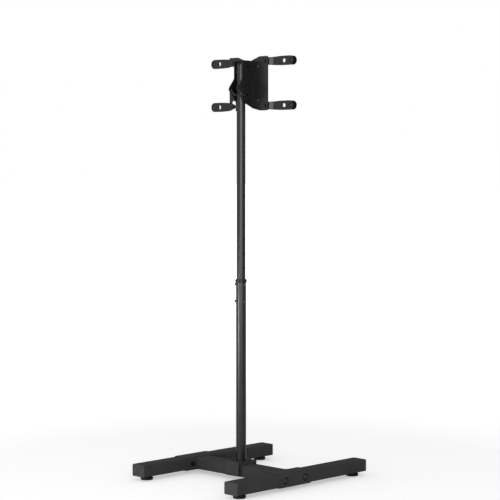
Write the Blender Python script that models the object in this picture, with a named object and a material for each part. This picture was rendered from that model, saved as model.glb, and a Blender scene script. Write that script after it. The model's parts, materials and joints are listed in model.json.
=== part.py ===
"""Monitor floor stand: H-shaped base, telescopic pole and a tilting head with four swivel arms.

Units are metres. +Z is up, X runs along the crossbar, and the screen side faces -Y.
"""
from math import cos, pi, radians, sin, sqrt, tan

import bmesh
import bpy
from mathutils import Matrix, Vector

MM = 0.001

# Clearances and mesh fineness.
GAP = 0.3 * MM
CUT_MARGIN = 2.0 * MM
POLE_STEPS = 40
SCREW_STEPS = 16
HOLE_STEPS = 12
CORNER_STEPS = 4
SMOOTH_ANGLE = radians(32.0)
SMALL_CHAMFER = 1.0 * MM
HALF = 0.5
FULL_TURN = 2.0 * pi

# Legs: two rectangular tubes a side, the front ones longer than the rear ones.
LEG_WIDTH = 61.0 * MM
LEG_HEIGHT = 42.0 * MM
LEG_WALL = 2.5 * MM
LEG_CORNER = 4.0 * MM
LEG_SPREAD = 228.7 * MM
LEG_UNDERSIDE = 14.0 * MM
FRONT_REACH = 363.6 * MM
REAR_REACH = 274.7 * MM
LEG_BUTT_SPACE = 4.0 * MM
CAP_FLANGE = 3.0 * MM
CAP_SPIGOT = 16.0 * MM
CAP_CORNER_STEPS = 3

# Levelling feet under the legs.
FOOT_INSET = 40.0 * MM
FOOT_PAD_RADIUS = 21.5 * MM
FOOT_PAD_HEIGHT = 10.2 * MM
FOOT_CROWN = 1.2 * MM
FOOT_CROWN_RADIUS = 16.0 * MM
STUD_RADIUS = 5.0 * MM
STUD_ABOVE_BOSS = 6.0 * MM
JAM_NUT_ACROSS = 17.0 * MM
BOSS_RADIUS = 9.0 * MM
BOSS_HEIGHT = 14.0 * MM

# Sleeves that join the leg tubes to the crossbar.
SLEEVE_WALL = 2.5 * MM
SLEEVE_LENGTH = 148.0 * MM
SLEEVE_PIN_INSET = 25.5 * MM
PIN_RADIUS = 4.0 * MM
PIN_HEAD_RADIUS = 10.3 * MM
PIN_HEAD_HEIGHT = 4.0 * MM
PIN_NUT_RADIUS = 8.0 * MM
PIN_NUT_HEIGHT = 5.0 * MM

# Crossbar and the saddle that carries the pole.
CROSSBAR_WIDTH = 60.0 * MM
SADDLE_WIDTH = 62.4 * MM
SADDLE_PLATE = 10.0 * MM
SADDLE_SKIRT = 3.0 * MM
SADDLE_SIDE_SPACE = 11.5 * MM
SADDLE_CLEAR = 3.0 * MM
SADDLE_CORNER = 3.0 * MM
SADDLE_SCREW_X = 23.0 * MM
SADDLE_SCREW_Y = 19.0 * MM
SADDLE_SCREW_RADIUS = 2.5 * MM
SADDLE_SCREW_HEAD = 4.4 * MM
SADDLE_SCREW_HEAD_HEIGHT = 4.0 * MM
SADDLE_BOSS_RADIUS = 5.5 * MM
SADDLE_BOSS_HEIGHT = 8.0 * MM
GRUB_RADIUS = 2.5 * MM
GRUB_OFFSET = 11.0 * MM
SOCKET_ACROSS = 3.0 * MM
SOCKET_DEPTH = 2.2 * MM

# Pole: the upper tube slides and turns in the lower one.
UPPER_RADIUS = 15.0 * MM
UPPER_WALL = 1.6 * MM
UPPER_TOP = 1436.0 * MM
UPPER_OVERLAP = 114.0 * MM
POLE_PLAY = 1.0 * MM
LOWER_WALL = 1.5 * MM
LOWER_TOP = 694.0 * MM
HOLE_RADIUS = 3.2 * MM
HOLE_PITCH = 50.0 * MM
HOLE_OVER_RIM = 41.9 * MM
HOLE_UNDER_CLAMP = 120.0 * MM
HOLES_HIDDEN = 2
COLLAR_WALL = 1.8 * MM
COLLAR_SKIRT = 8.0 * MM
COLLAR_LIP = 3.0 * MM
COLLAR_ROUND = 0.8 * MM
LOCK_DROPS = (74.0 * MM, 15.0 * MM)
LOCK_RADIUS = 2.5 * MM
LOCK_HEAD_RADIUS = 4.2 * MM
LOCK_HEAD_HEIGHT = 5.6 * MM
LOCK_BOSS_RADIUS = 5.5 * MM
LOCK_BOSS_HEIGHT = 4.0 * MM
LOCK_HEX_ACROSS = 9.0 * MM
PLUG_FLANGE = 6.0 * MM
PLUG_SPIGOT = 20.0 * MM
TOP_CAP_HEIGHT = 3.5 * MM
TOP_CAP_ROUND = 1.2 * MM

# Tilting head: two folded brackets, joined in front by a plate. Rises and drops are from the tilt axis.
SHEET = 3.0 * MM
TILT_UNDER_TOP = 74.0 * MM
EAR_SPACE = 2.5 * MM
EAR_TOP_RISE = 88.0 * MM
EAR_REAR = 14.0 * MM
EAR_STEP_RISE = 26.0 * MM
EAR_PAST_SLOT = 9.5 * MM
EAR_APEX_DROP = 11.0 * MM
EAR_LOW = 4.0 * MM
EAR_LOW_DROP = 57.0 * MM
EAR_FOOT_DROP = 75.0 * MM
EAR_APEX_ROUND = 9.0 * MM
FLANGE_REAR = 36.0 * MM
FLANGE_PAST_ARM = 16.0 * MM
FLANGE_OVER_ARM = 17.9 * MM
FLANGE_UNDER_ARM = 16.1 * MM
FLANGE_TOP_FALL = 12.0 * MM
FLANGE_FOOT_RISE = 8.5 * MM
FLANGE_TOP_RUN = 40.0 * MM
FLANGE_FOOT_RUN = 37.0 * MM
FLANGE_ROUND = 6.0 * MM
SHOULDER_ROUND = 24.0 * MM
WINDOW_WIDTH = 11.0 * MM
WINDOW_RISE = 6.0 * MM
WINDOW_UNDER_ARM = 13.1 * MM
WINDOW_ROUND = 5.0 * MM
NOTCH_WIDTH = 14.0 * MM
NOTCH_PAST_ARM = 3.5 * MM
NOTCH_OVER_ARM = 19.4 * MM
NOTCH_LIP_OVER_ARM = 2.4 * MM
NOTCH_ROUND = 4.0 * MM
TILT_RADIUS = 4.0 * MM
TILT_HEAD_RADIUS = 7.5 * MM
TILT_NUT_RADIUS = 7.0 * MM
TILT_NUT_HEIGHT = 6.0 * MM
TILT_BOSS_RADIUS = 8.0 * MM
CLAMP_DROP = 32.5 * MM
CLAMP_RADIUS = 3.0 * MM
CLAMP_BOSS_RADIUS = 6.0 * MM
CLAMP_HEAD_RADIUS = 5.6 * MM
CLAMP_HEAD_HEIGHT = 3.6 * MM
CLAMP_NUT_HEIGHT = 5.0 * MM
SLOT_FROM = 198.0
SLOT_TO = 292.0
SLOT_STEPS = 14
SPARE_HOLE_RADIUS = 2.6 * MM
SPARE_HOLES = ((-5.0 * MM, 50.0 * MM), (5.0 * MM, 75.0 * MM))

# Front plate and the rivets that hold it to the brackets.
PLATE_SPACE = 9.0 * MM
PLATE_OVER_RIVET = 17.0 * MM
PLATE_UNDER_RIVET = 8.5 * MM
PLATE_ROUND = 8.0 * MM
RIVET_INSIDE_ARM = 30.6 * MM
RIVET_RISES = (-49.5 * MM, 67.0 * MM)
RIVET_RADIUS = 3.0 * MM
RIVET_HEAD_RADIUS = 7.0 * MM
RIVET_HEAD_HEIGHT = 4.2 * MM
RIVET_TAIL_RADIUS = 6.0 * MM
RIVET_TAIL_HEIGHT = 3.0 * MM
PLATE_WINDOW_RADIUS = 22.0 * MM

# Swivel arms, each on its own pivot at the edge of a bracket.
ARM_PIVOT_X = 77.0 * MM
ARM_RISES = (-67.4 * MM, 84.1 * MM)
ARM_STEP = 10.1 * MM
ARM_ROOT_HALF = 8.0 * MM
ARM_SHOULDER_HALF = 12.6 * MM
ARM_NECK_HALF = 14.0 * MM
ARM_HEAD_HALF = 16.0 * MM
ARM_SHOULDER_AT = 12.0 * MM
ARM_NECK_AT = 28.0 * MM
ARM_TIP_CENTRE = 106.5 * MM
ARM_HEAD_LENGTH = 40.5 * MM
ARM_JOGGLE_FROM = 20.0 * MM
ARM_TIP_STEPS = 12
ARM_PIVOT_RADIUS = 4.0 * MM
ARM_PIVOT_HEX = 11.0 * MM
ARM_PIVOT_HEX_HEIGHT = 3.4 * MM
ARM_PIVOT_TAIL = 6.0 * MM
ARM_PIVOT_TAIL_HEIGHT = 2.6 * MM
ARM_HOLE_INSIDE_TIP = 26.5 * MM
ARM_HOLE_RADIUS = 6.8 * MM
ARM_PAD_PAST_TIP = 4.1 * MM
ARM_PAD_HOLE_RADIUS = 6.5 * MM
ARM_PAD_RADIUS = 15.4 * MM
ARM_PAD_HEIGHT = 13.0 * MM
ARM_PAD_STUD = 4.4 * MM
ARM_PAD_STUD_SUNK = 1.2 * MM
ARM_PAD_ROUND = 1.2 * MM

# Sizes that follow from the ones above.
POLE_Y = (FRONT_REACH - REAR_REACH) * HALF
LEG_MIDDLE = LEG_UNDERSIDE + LEG_HEIGHT * HALF
JAM_NUT_HEIGHT = LEG_UNDERSIDE - FOOT_PAD_HEIGHT - 2.0 * GAP
CROSSBAR_TOP = LEG_UNDERSIDE + LEG_HEIGHT
SLEEVE_WIDTH = LEG_WIDTH + 2.0 * (GAP + SLEEVE_WALL)
SLEEVE_HEIGHT = LEG_HEIGHT + 2.0 * (GAP + SLEEVE_WALL)
SLEEVE_PIN_REACH = SLEEVE_LENGTH * HALF - SLEEVE_PIN_INSET
CROSSBAR_HALF = LEG_SPREAD - SLEEVE_WIDTH * HALF - GAP
SADDLE_UNDER = CROSSBAR_TOP + GAP
SADDLE_TOP = SADDLE_UNDER + SADDLE_PLATE
SADDLE_DEPTH = CROSSBAR_WIDTH + 2.0 * (SADDLE_SIDE_SPACE + SADDLE_SKIRT)
LOWER_BORE = UPPER_RADIUS + POLE_PLAY
LOWER_RADIUS = LOWER_BORE + LOWER_WALL
COLLAR_RADIUS = LOWER_RADIUS + GAP + COLLAR_WALL
LOCK_HEIGHTS = tuple(LOWER_TOP - drop for drop in LOCK_DROPS)
UPPER_BOTTOM = LOWER_TOP - UPPER_OVERLAP
UPPER_BORE = UPPER_RADIUS - UPPER_WALL
TILT_HEIGHT = UPPER_TOP - TILT_UNDER_TOP
CLAMP_HEIGHT = TILT_HEIGHT - CLAMP_DROP
HOLE_FIRST = LOWER_TOP + HOLE_OVER_RIM
HOLES_SHOWN = int((CLAMP_HEIGHT - HOLE_UNDER_CLAMP - HOLE_FIRST) / HOLE_PITCH) + 1
SLOT_HALF = CLAMP_RADIUS + GAP
EAR_INNER = UPPER_RADIUS + EAR_SPACE
EAR_OUTER = EAR_INNER + SHEET
EAR_APEX = CLAMP_DROP + EAR_PAST_SLOT
BRACKET_FRONT = FLANGE_REAR + SHEET
ARM_ROOT_REAR = BRACKET_FRONT + GAP
ARM_REAR = ARM_ROOT_REAR + ARM_STEP
ARM_HEAD_AT = ARM_TIP_CENTRE - ARM_HEAD_LENGTH
ARM_HOLE_AT = ARM_TIP_CENTRE - ARM_HOLE_INSIDE_TIP
ARM_PAD_AT = ARM_TIP_CENTRE + ARM_PAD_PAST_TIP
ARM_HEIGHTS = tuple(TILT_HEIGHT + rise for rise in ARM_RISES)
FLANGE_EDGE = ARM_PIVOT_X + FLANGE_PAST_ARM
FLANGE_TOP = ARM_HEIGHTS[1] + FLANGE_OVER_ARM
FLANGE_FOOT = ARM_HEIGHTS[0] - FLANGE_UNDER_ARM
RIVET_X = ARM_PIVOT_X - RIVET_INSIDE_ARM
RIVET_HEIGHTS = tuple(TILT_HEIGHT + rise for rise in RIVET_RISES)
PLATE_HALF_WIDTH = ARM_PIVOT_X - ARM_ROOT_HALF - PLATE_SPACE
PLATE_TOP = RIVET_HEIGHTS[1] + PLATE_OVER_RIVET
PLATE_FOOT = RIVET_HEIGHTS[0] - PLATE_UNDER_RIVET
SIDES = {"left": -1.0, "right": 1.0}
ENDS = {"front": (-1.0, FRONT_REACH), "rear": (1.0, REAR_REACH)}
LEVELS = {"lower": ARM_HEIGHTS[0], "upper": ARM_HEIGHTS[1]}


def clear_scene():
    """Remove whatever the scene starts with."""
    for item in list(bpy.data.objects):
        bpy.data.objects.remove(item, do_unlink=True)


def make_material(name, colour, roughness, metallic):
    """Return a plain principled material."""
    material = bpy.data.materials.new(name)
    material.use_nodes = True
    shader = material.node_tree.nodes["Principled BSDF"]
    shader.inputs["Base Color"].default_value = (*colour, 1.0)
    shader.inputs["Roughness"].default_value = roughness
    shader.inputs["Metallic"].default_value = metallic
    return material


def powder_coat(name):
    """Satin black powder coat, used on the steel pieces."""
    return make_material(name, (0.035, 0.036, 0.038), 0.42, 0.0)


def black_steel(name):
    """Blackened steel, used on the screws and rivets."""
    return make_material(name, (0.03, 0.03, 0.032), 0.35, 0.8)


def black_plastic(name):
    """Glossy black moulded plastic."""
    return make_material(name, (0.012, 0.012, 0.013), 0.22, 0.0)


def black_rubber(name):
    """Matt black rubber."""
    return make_material(name, (0.018, 0.018, 0.019), 0.8, 0.0)


def finish(name, mesh, origin, coat, parent=None, smooth=True):
    """Turn a mesh built in world coordinates into a named object with its origin at a point."""
    centre = Vector(origin)
    bmesh.ops.translate(mesh, vec=-centre, verts=mesh.verts)
    bmesh.ops.recalc_face_normals(mesh, faces=mesh.faces)
    data = bpy.data.meshes.new(name)
    mesh.to_mesh(data)
    mesh.free()
    item = bpy.data.objects.new(name, data)
    bpy.context.scene.collection.objects.link(item)
    if smooth:
        data.shade_smooth()
        data.set_sharp_from_angle(angle=SMOOTH_ANGLE)
    data.materials.append(coat(name + "_finish"))
    item["centre"] = tuple(centre)
    if parent is not None:
        item.parent = parent
        item.location = centre - Vector(parent["centre"])
    else:
        item.location = centre
    return item


def boolean(target, mesh, name, operation):
    """Apply a hidden helper solid to a piece: DIFFERENCE cuts, UNION joins, INTERSECT keeps."""
    bmesh.ops.recalc_face_normals(mesh, faces=mesh.faces)
    data = bpy.data.meshes.new(name)
    mesh.to_mesh(data)
    mesh.free()
    helper = bpy.data.objects.new(name, data)
    bpy.context.scene.collection.objects.link(helper)
    helper.hide_render = True
    helper.display_type = "WIRE"
    step = target.modifiers.new(name, "BOOLEAN")
    step.operation = operation
    step.solver = "EXACT"
    step.object = helper
    return target


def cut(target, mesh, name):
    """Cut a helper solid out of a piece."""
    return boolean(target, mesh, name, "DIFFERENCE")


def fuse(target, mesh, name):
    """Join a helper solid to a piece, as a weld does."""
    return boolean(target, mesh, name, "UNION")


def add_bar(mesh, size, centre, radius=0.0, along=1, steps=CORNER_STEPS):
    """Add a box whose lengthwise edges are rounded."""
    made = bmesh.ops.create_cube(mesh, size=1.0)
    verts = made["verts"]
    bmesh.ops.scale(mesh, vec=Vector(size), verts=verts)
    bmesh.ops.translate(mesh, vec=Vector(centre), verts=verts)
    if radius <= 0.0:
        return
    edges = set()
    for vert in verts:
        for edge in vert.link_edges:
            run = edge.verts[1].co - edge.verts[0].co
            if abs(run[along]) > 0.99 * run.length:
                edges.add(edge)
    bmesh.ops.bevel(mesh, geom=list(edges), offset=radius, offset_type="OFFSET", segments=steps,
                    profile=HALF, affect="EDGES", material=-1)


def add_turned(mesh, profile, base, direction, steps=SCREW_STEPS, closed=False):
    """Spin a profile of (radius, height) points about a line through base along direction."""
    verts = [mesh.verts.new((radius, 0.0, height)) for radius, height in profile]
    edges = [mesh.edges.new(pair) for pair in zip(verts, verts[1:])]
    if closed:
        edges.append(mesh.edges.new((verts[-1], verts[0])))
    bmesh.ops.spin(mesh, geom=verts + edges, cent=(0.0, 0.0, 0.0), axis=(0.0, 0.0, 1.0),
                   angle=FULL_TURN, steps=steps, use_merge=True)
    fresh = [vert for vert in mesh.verts if not vert.tag]
    turn = Vector((0.0, 0.0, 1.0)).rotation_difference(Vector(direction)).to_matrix().to_4x4()
    place = Matrix.Translation(Vector(base)) @ turn
    bmesh.ops.transform(mesh, matrix=place, verts=fresh)
    bmesh.ops.remove_doubles(mesh, verts=fresh, dist=MM * 0.01)
    for vert in mesh.verts:
        vert.tag = True


def add_rod(mesh, radius, start, end, steps=SCREW_STEPS):
    """Add a plain round rod between two points."""
    first = Vector(start)
    run = Vector(end) - first
    profile = ((0.0, 0.0), (radius, 0.0), (radius, run.length), (0.0, run.length))
    add_turned(mesh, profile, first, run.normalized(), steps)


def add_hex(mesh, across, start, end):
    """Add a hexagonal prism between two points."""
    radius = across * HALF / cos(pi / 6.0)
    add_rod(mesh, radius, start, end, steps=6)


def add_ring(mesh, outer, inner, start, end, steps=POLE_STEPS):
    """Add a round tube between two points."""
    first = Vector(start)
    run = Vector(end) - first
    profile = ((inner, 0.0), (outer, 0.0), (outer, run.length), (inner, run.length))
    add_turned(mesh, profile, first, run.normalized(), steps, closed=True)


def add_outline(mesh, points, start, end, axis):
    """Extrude a closed outline from start to end along an axis: X outlines are (y, z), Y are (x, z)."""
    if axis == "X":
        verts = [mesh.verts.new((start, first, second)) for first, second in points]
        push = Vector((end - start, 0.0, 0.0))
    elif axis == "Y":
        verts = [mesh.verts.new((first, start, second)) for first, second in points]
        push = Vector((0.0, end - start, 0.0))
    else:
        verts = [mesh.verts.new((first, second, start)) for first, second in points]
        push = Vector((0.0, 0.0, end - start))
    face = mesh.faces.new(verts)
    made = bmesh.ops.extrude_face_region(mesh, geom=[face])
    moved = [item for item in made["geom"] if isinstance(item, bmesh.types.BMVert)]
    bmesh.ops.translate(mesh, vec=push, verts=moved)


def rounded(corners, steps=CORNER_STEPS):
    """Return an outline whose (x, y, radius) corners are rounded."""
    outline = []
    count = len(corners)
    for index, (first, second, radius) in enumerate(corners):
        here = Vector((first, second))
        before = Vector(corners[index - 1][:2]) - here
        after = Vector(corners[(index + 1) % count][:2]) - here
        if radius <= 0.0:
            outline.append(tuple(here))
            continue
        inside = before.angle(after)
        setback = min(radius / tan(inside * HALF), before.length * 0.49, after.length * 0.49)
        arc = setback * tan(inside * HALF)
        toward = (before.normalized() + after.normalized()).normalized()
        centre = here + toward * (arc / sin(inside * HALF))
        start = here + before.normalized() * setback - centre
        sweep = start.angle_signed(here + after.normalized() * setback - centre)
        for step in range(steps + 1):
            turn = -sweep * step / steps
            outline.append((centre.x + start.x * cos(turn) - start.y * sin(turn),
                            centre.y + start.x * sin(turn) + start.y * cos(turn)))
    return outline


def dome_head(radius, height, under, shank, length, steps=3):
    """Profile of a domed head on a shank that runs down from it."""
    points = [(0.0, under + height)]
    for step in range(1, steps + 1):
        turn = HALF * pi * step / steps
        points.append((radius * sin(turn), under + height * cos(turn)))
    points += [(shank, under), (shank, under - length), (0.0, under - length)]
    return points


def flat_tail(radius, start, height):
    """Profile of a flat nut or rivet tail that ends a dome_head profile."""
    return [(radius, start), (radius, start - height), (0.0, start - height)]


def pole_point(forward=0.0, across=0.0, height=0.0):
    """World position of a point given by its distance in front of the pole, across it and up."""
    return Vector((across, POLE_Y - forward, height))


def build_base():
    """Build the crossbar, the sleeves, the leg tubes with their caps, and the saddle."""
    crossbar = build_crossbar()
    for side, sign in SIDES.items():
        sleeve = build_sleeve(side, sign, crossbar)
        for end, (facing, reach) in ENDS.items():
            leg = build_leg(side, sign, end, facing, reach, sleeve)
            build_cap(side, sign, end, facing, reach, leg)
            build_pin(side, sign, end, facing, sleeve)
            build_foot(side, sign, end, facing, reach, leg)
    return crossbar


def build_crossbar():
    """Rectangular tube between the two sleeves, with screw bosses under its top wall."""
    mesh = bmesh.new()
    length = 2.0 * CROSSBAR_HALF
    add_bar(mesh, (length, CROSSBAR_WIDTH, LEG_HEIGHT), (0.0, POLE_Y, LEG_MIDDLE), LEG_CORNER, 0)
    crossbar = finish("crossbar", mesh, (0.0, POLE_Y, LEG_MIDDLE), powder_coat)
    hollow = bmesh.new()
    inner_size = (length + CUT_MARGIN, CROSSBAR_WIDTH - 2.0 * LEG_WALL, LEG_HEIGHT - 2.0 * LEG_WALL)
    add_bar(hollow, inner_size, (0.0, POLE_Y, LEG_MIDDLE), LEG_CORNER - LEG_WALL, 0)
    cut(crossbar, hollow, "crossbar_hollow")
    bosses = bmesh.new()
    holes = bmesh.new()
    inside = CROSSBAR_TOP - LEG_WALL
    for across, forward in saddle_screws():
        top = pole_point(forward, across, inside + LEG_WALL * HALF)
        low = pole_point(forward, across, inside - SADDLE_BOSS_HEIGHT)
        add_rod(bosses, SADDLE_BOSS_RADIUS, low, top)
        deep = pole_point(forward, across, inside - SADDLE_BOSS_HEIGHT - CUT_MARGIN)
        out = pole_point(forward, across, CROSSBAR_TOP + CUT_MARGIN)
        add_rod(holes, SADDLE_SCREW_RADIUS + GAP, deep, out)
    fuse(crossbar, bosses, "crossbar_bosses")
    cut(crossbar, holes, "crossbar_screw_holes")
    return crossbar


def saddle_screws():
    """Places of the saddle screws as (across, forward) distances from the pole."""
    signs = (-1.0, 1.0)
    return [(across * SADDLE_SCREW_X, forward * SADDLE_SCREW_Y) for across in signs for forward in signs]


def build_sleeve(side, sign, parent):
    """Open-ended square sleeve at one end of the crossbar, holding a front and a rear leg tube."""
    centre = (sign * LEG_SPREAD, POLE_Y, LEG_MIDDLE)
    mesh = bmesh.new()
    add_bar(mesh, (SLEEVE_WIDTH, SLEEVE_LENGTH, SLEEVE_HEIGHT), centre, LEG_CORNER + SLEEVE_WALL, 1)
    sleeve = finish("sleeve_" + side, mesh, centre, powder_coat, parent)
    hollow = bmesh.new()
    inner_size = (LEG_WIDTH + 2.0 * GAP, SLEEVE_LENGTH + CUT_MARGIN, LEG_HEIGHT + 2.0 * GAP)
    add_bar(hollow, inner_size, centre, LEG_CORNER + GAP, 1)
    cut(sleeve, hollow, "sleeve_hollow_" + side)
    holes = bmesh.new()
    for facing in (-1.0, 1.0):
        add_pin_hole(holes, sign, facing, SLEEVE_WIDTH)
    cut(sleeve, holes, "sleeve_pin_holes_" + side)
    return sleeve


def add_pin_hole(mesh, sign, facing, width):
    """Add the cutter for a cross hole that the sleeve pin passes through."""
    reach = width * HALF + CUT_MARGIN
    middle = Vector((sign * LEG_SPREAD, POLE_Y + facing * SLEEVE_PIN_REACH, LEG_MIDDLE))
    add_rod(mesh, PIN_RADIUS + GAP, middle - Vector((reach, 0.0, 0.0)), middle + Vector((reach, 0.0, 0.0)))


def build_leg(side, sign, end, facing, reach, parent):
    """One leg tube, with the threaded boss of its levelling foot welded inside."""
    start = LEG_BUTT_SPACE * HALF
    stop = reach - CAP_FLANGE - GAP
    length = stop - start
    centre = Vector((sign * LEG_SPREAD, POLE_Y + facing * (start + stop) * HALF, LEG_MIDDLE))
    name = "_".join(("leg", end, side))
    mesh = bmesh.new()
    add_bar(mesh, (LEG_WIDTH, length, LEG_HEIGHT), centre, LEG_CORNER, 1)
    leg = finish(name, mesh, centre, powder_coat, parent)
    hollow = bmesh.new()
    inner_size = (LEG_WIDTH - 2.0 * LEG_WALL, length + CUT_MARGIN, LEG_HEIGHT - 2.0 * LEG_WALL)
    add_bar(hollow, inner_size, centre, LEG_CORNER - LEG_WALL, 1)
    cut(leg, hollow, name + "_hollow")
    across, along = foot_place(sign, facing, reach)
    boss = bmesh.new()
    low = LEG_UNDERSIDE + LEG_WALL * HALF
    high = LEG_UNDERSIDE + LEG_WALL + BOSS_HEIGHT
    add_rod(boss, BOSS_RADIUS, (across, along, low), (across, along, high))
    fuse(leg, boss, name + "_boss")
    holes = bmesh.new()
    under = LEG_UNDERSIDE - CUT_MARGIN
    add_rod(holes, STUD_RADIUS + GAP, (across, along, under), (across, along, high + CUT_MARGIN))
    add_pin_hole(holes, sign, facing, LEG_WIDTH)
    cut(leg, holes, name + "_holes")
    return leg


def foot_place(sign, facing, reach):
    """World x and y of a levelling foot."""
    return sign * LEG_SPREAD, POLE_Y + facing * (reach - FOOT_INSET)


def build_cap(side, sign, end, facing, reach, parent):
    """Plastic plug that closes the open end of a leg tube."""
    name = "_".join(("cap", end, side))
    tip = POLE_Y + facing * reach
    centre = Vector((sign * LEG_SPREAD, tip - facing * CAP_FLANGE * HALF, LEG_MIDDLE))
    mesh = bmesh.new()
    add_bar(mesh, (LEG_WIDTH, CAP_FLANGE, LEG_HEIGHT), centre, LEG_CORNER, 1, CAP_CORNER_STEPS)
    cap = finish(name, mesh, centre, black_plastic, parent)
    spigot = bmesh.new()
    deep = CAP_SPIGOT + CAP_FLANGE * HALF
    middle = Vector((centre.x, tip - facing * (CAP_FLANGE * HALF + deep * HALF), centre.z))
    size = (LEG_WIDTH - 2.0 * (LEG_WALL + GAP), deep, LEG_HEIGHT - 2.0 * (LEG_WALL + GAP))
    add_bar(spigot, size, middle, LEG_CORNER - LEG_WALL, 1)
    fuse(cap, spigot, name + "_spigot")
    return cap


def build_pin(side, sign, end, facing, parent):
    """Cross bolt of a sleeve, domed outside and with its nut run up on the inner side."""
    name = "_".join(("sleeve_bolt", end, side))
    half = SLEEVE_WIDTH * HALF + GAP
    centre = Vector((sign * LEG_SPREAD, POLE_Y + facing * SLEEVE_PIN_REACH, LEG_MIDDLE))
    mesh = bmesh.new()
    profile = dome_head(PIN_HEAD_RADIUS, PIN_HEAD_HEIGHT, half, PIN_RADIUS, 2.0 * half)[:-1]
    profile += flat_tail(PIN_NUT_RADIUS, -half, PIN_NUT_HEIGHT)
    add_turned(mesh, profile, centre, (sign, 0.0, 0.0))
    return finish(name, mesh, centre, black_steel, parent)


def build_foot(side, sign, end, facing, reach, parent):
    """Levelling foot: a jam nut on the stud, and the pad moulded to the stud."""
    across, along = foot_place(sign, facing, reach)
    place = "_".join((end, side))
    pivot = Vector((across, along, LEG_UNDERSIDE))
    nut_base = FOOT_PAD_HEIGHT + GAP
    nut_mesh = bmesh.new()
    add_hex(nut_mesh, JAM_NUT_ACROSS, (across, along, nut_base), (across, along, nut_base + JAM_NUT_HEIGHT))
    nut = finish("jam_nut_" + place, nut_mesh, pivot, black_steel, parent, smooth=False)
    bore = bmesh.new()
    low = nut_base - CUT_MARGIN
    high = nut_base + JAM_NUT_HEIGHT + CUT_MARGIN
    add_rod(bore, STUD_RADIUS + GAP, (across, along, low), (across, along, high))
    cut(nut, bore, "jam_nut_bore_" + place)
    stud_top = LEG_UNDERSIDE + LEG_WALL + BOSS_HEIGHT + STUD_ABOVE_BOSS
    profile = (
        (0.0, 0.0),
        (FOOT_PAD_RADIUS - SMALL_CHAMFER, 0.0),
        (FOOT_PAD_RADIUS, SMALL_CHAMFER),
        (FOOT_PAD_RADIUS, FOOT_PAD_HEIGHT - FOOT_CROWN - SMALL_CHAMFER),
        (FOOT_PAD_RADIUS - SMALL_CHAMFER, FOOT_PAD_HEIGHT - FOOT_CROWN),
        (FOOT_CROWN_RADIUS, FOOT_PAD_HEIGHT),
        (STUD_RADIUS, FOOT_PAD_HEIGHT),
        (STUD_RADIUS, stud_top - SMALL_CHAMFER),
        (STUD_RADIUS - SMALL_CHAMFER, stud_top),
        (0.0, stud_top),
    )
    pad = bmesh.new()
    add_turned(pad, profile, (across, along, 0.0), (0.0, 0.0, 1.0), POLE_STEPS // 2)
    return finish("foot_" + place, pad, pivot, black_plastic, nut)


def build_saddle(parent):
    """Thick plate on the crossbar with a skirt in front and behind, bored for the pole."""
    centre = pole_point(0.0, 0.0, SADDLE_TOP)
    mesh = bmesh.new()
    bottom = LEG_UNDERSIDE + SADDLE_CLEAR
    size = (SADDLE_WIDTH, SADDLE_DEPTH, SADDLE_TOP - bottom)
    add_bar(mesh, size, pole_point(0.0, 0.0, (SADDLE_TOP + bottom) * HALF), SADDLE_CORNER, 0)
    saddle = finish("saddle", mesh, centre, powder_coat, parent)
    hollow = bmesh.new()
    inner = (SADDLE_WIDTH + CUT_MARGIN, SADDLE_DEPTH - 2.0 * SADDLE_SKIRT, SADDLE_UNDER)
    add_bar(hollow, inner, pole_point(0.0, 0.0, SADDLE_UNDER * HALF))
    cut(saddle, hollow, "saddle_hollow")
    holes = bmesh.new()
    low = SADDLE_UNDER - CUT_MARGIN
    high = SADDLE_TOP + CUT_MARGIN
    add_rod(holes, LOWER_RADIUS + GAP, pole_point(height=low), pole_point(height=high), POLE_STEPS)
    for across, forward in saddle_screws():
        under = pole_point(forward, across, low)
        add_rod(holes, SADDLE_SCREW_RADIUS + GAP, under, pole_point(forward, across, high))
    cut(saddle, holes, "saddle_holes")
    side = bmesh.new()
    height = SADDLE_UNDER + SADDLE_PLATE * HALF
    outside = pole_point(GRUB_OFFSET, -SADDLE_WIDTH * HALF - CUT_MARGIN, height)
    add_rod(side, GRUB_RADIUS + GAP, outside, pole_point(GRUB_OFFSET, -LOWER_RADIUS * HALF, height))
    cut(saddle, side, "saddle_grub_hole")
    for index, (across, forward) in enumerate(saddle_screws()):
        build_saddle_screw(index + 1, across, forward, saddle)
    build_grub(saddle, height)
    return saddle


def build_saddle_screw(number, across, forward, parent):
    """Socket-head screw that holds the saddle to the crossbar."""
    base = pole_point(forward, across, SADDLE_TOP)
    length = SADDLE_PLATE + LEG_WALL + SADDLE_BOSS_HEIGHT
    under = GAP
    top = under + SADDLE_SCREW_HEAD_HEIGHT
    profile = (
        (0.0, top),
        (SADDLE_SCREW_HEAD - SMALL_CHAMFER * HALF, top),
        (SADDLE_SCREW_HEAD, top - SMALL_CHAMFER * HALF),
        (SADDLE_SCREW_HEAD, under),
        (SADDLE_SCREW_RADIUS, under),
        (SADDLE_SCREW_RADIUS, -length),
        (0.0, -length),
    )
    mesh = bmesh.new()
    add_turned(mesh, profile, base, (0.0, 0.0, 1.0))
    name = "saddle_screw_" + str(number)
    screw = finish(name, mesh, base, black_steel, parent)
    socket = bmesh.new()
    high = base + Vector((0.0, 0.0, top + CUT_MARGIN))
    add_hex(socket, SOCKET_ACROSS, base + Vector((0.0, 0.0, top - SOCKET_DEPTH)), high)
    cut(screw, socket, name + "_socket")
    return screw


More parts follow.
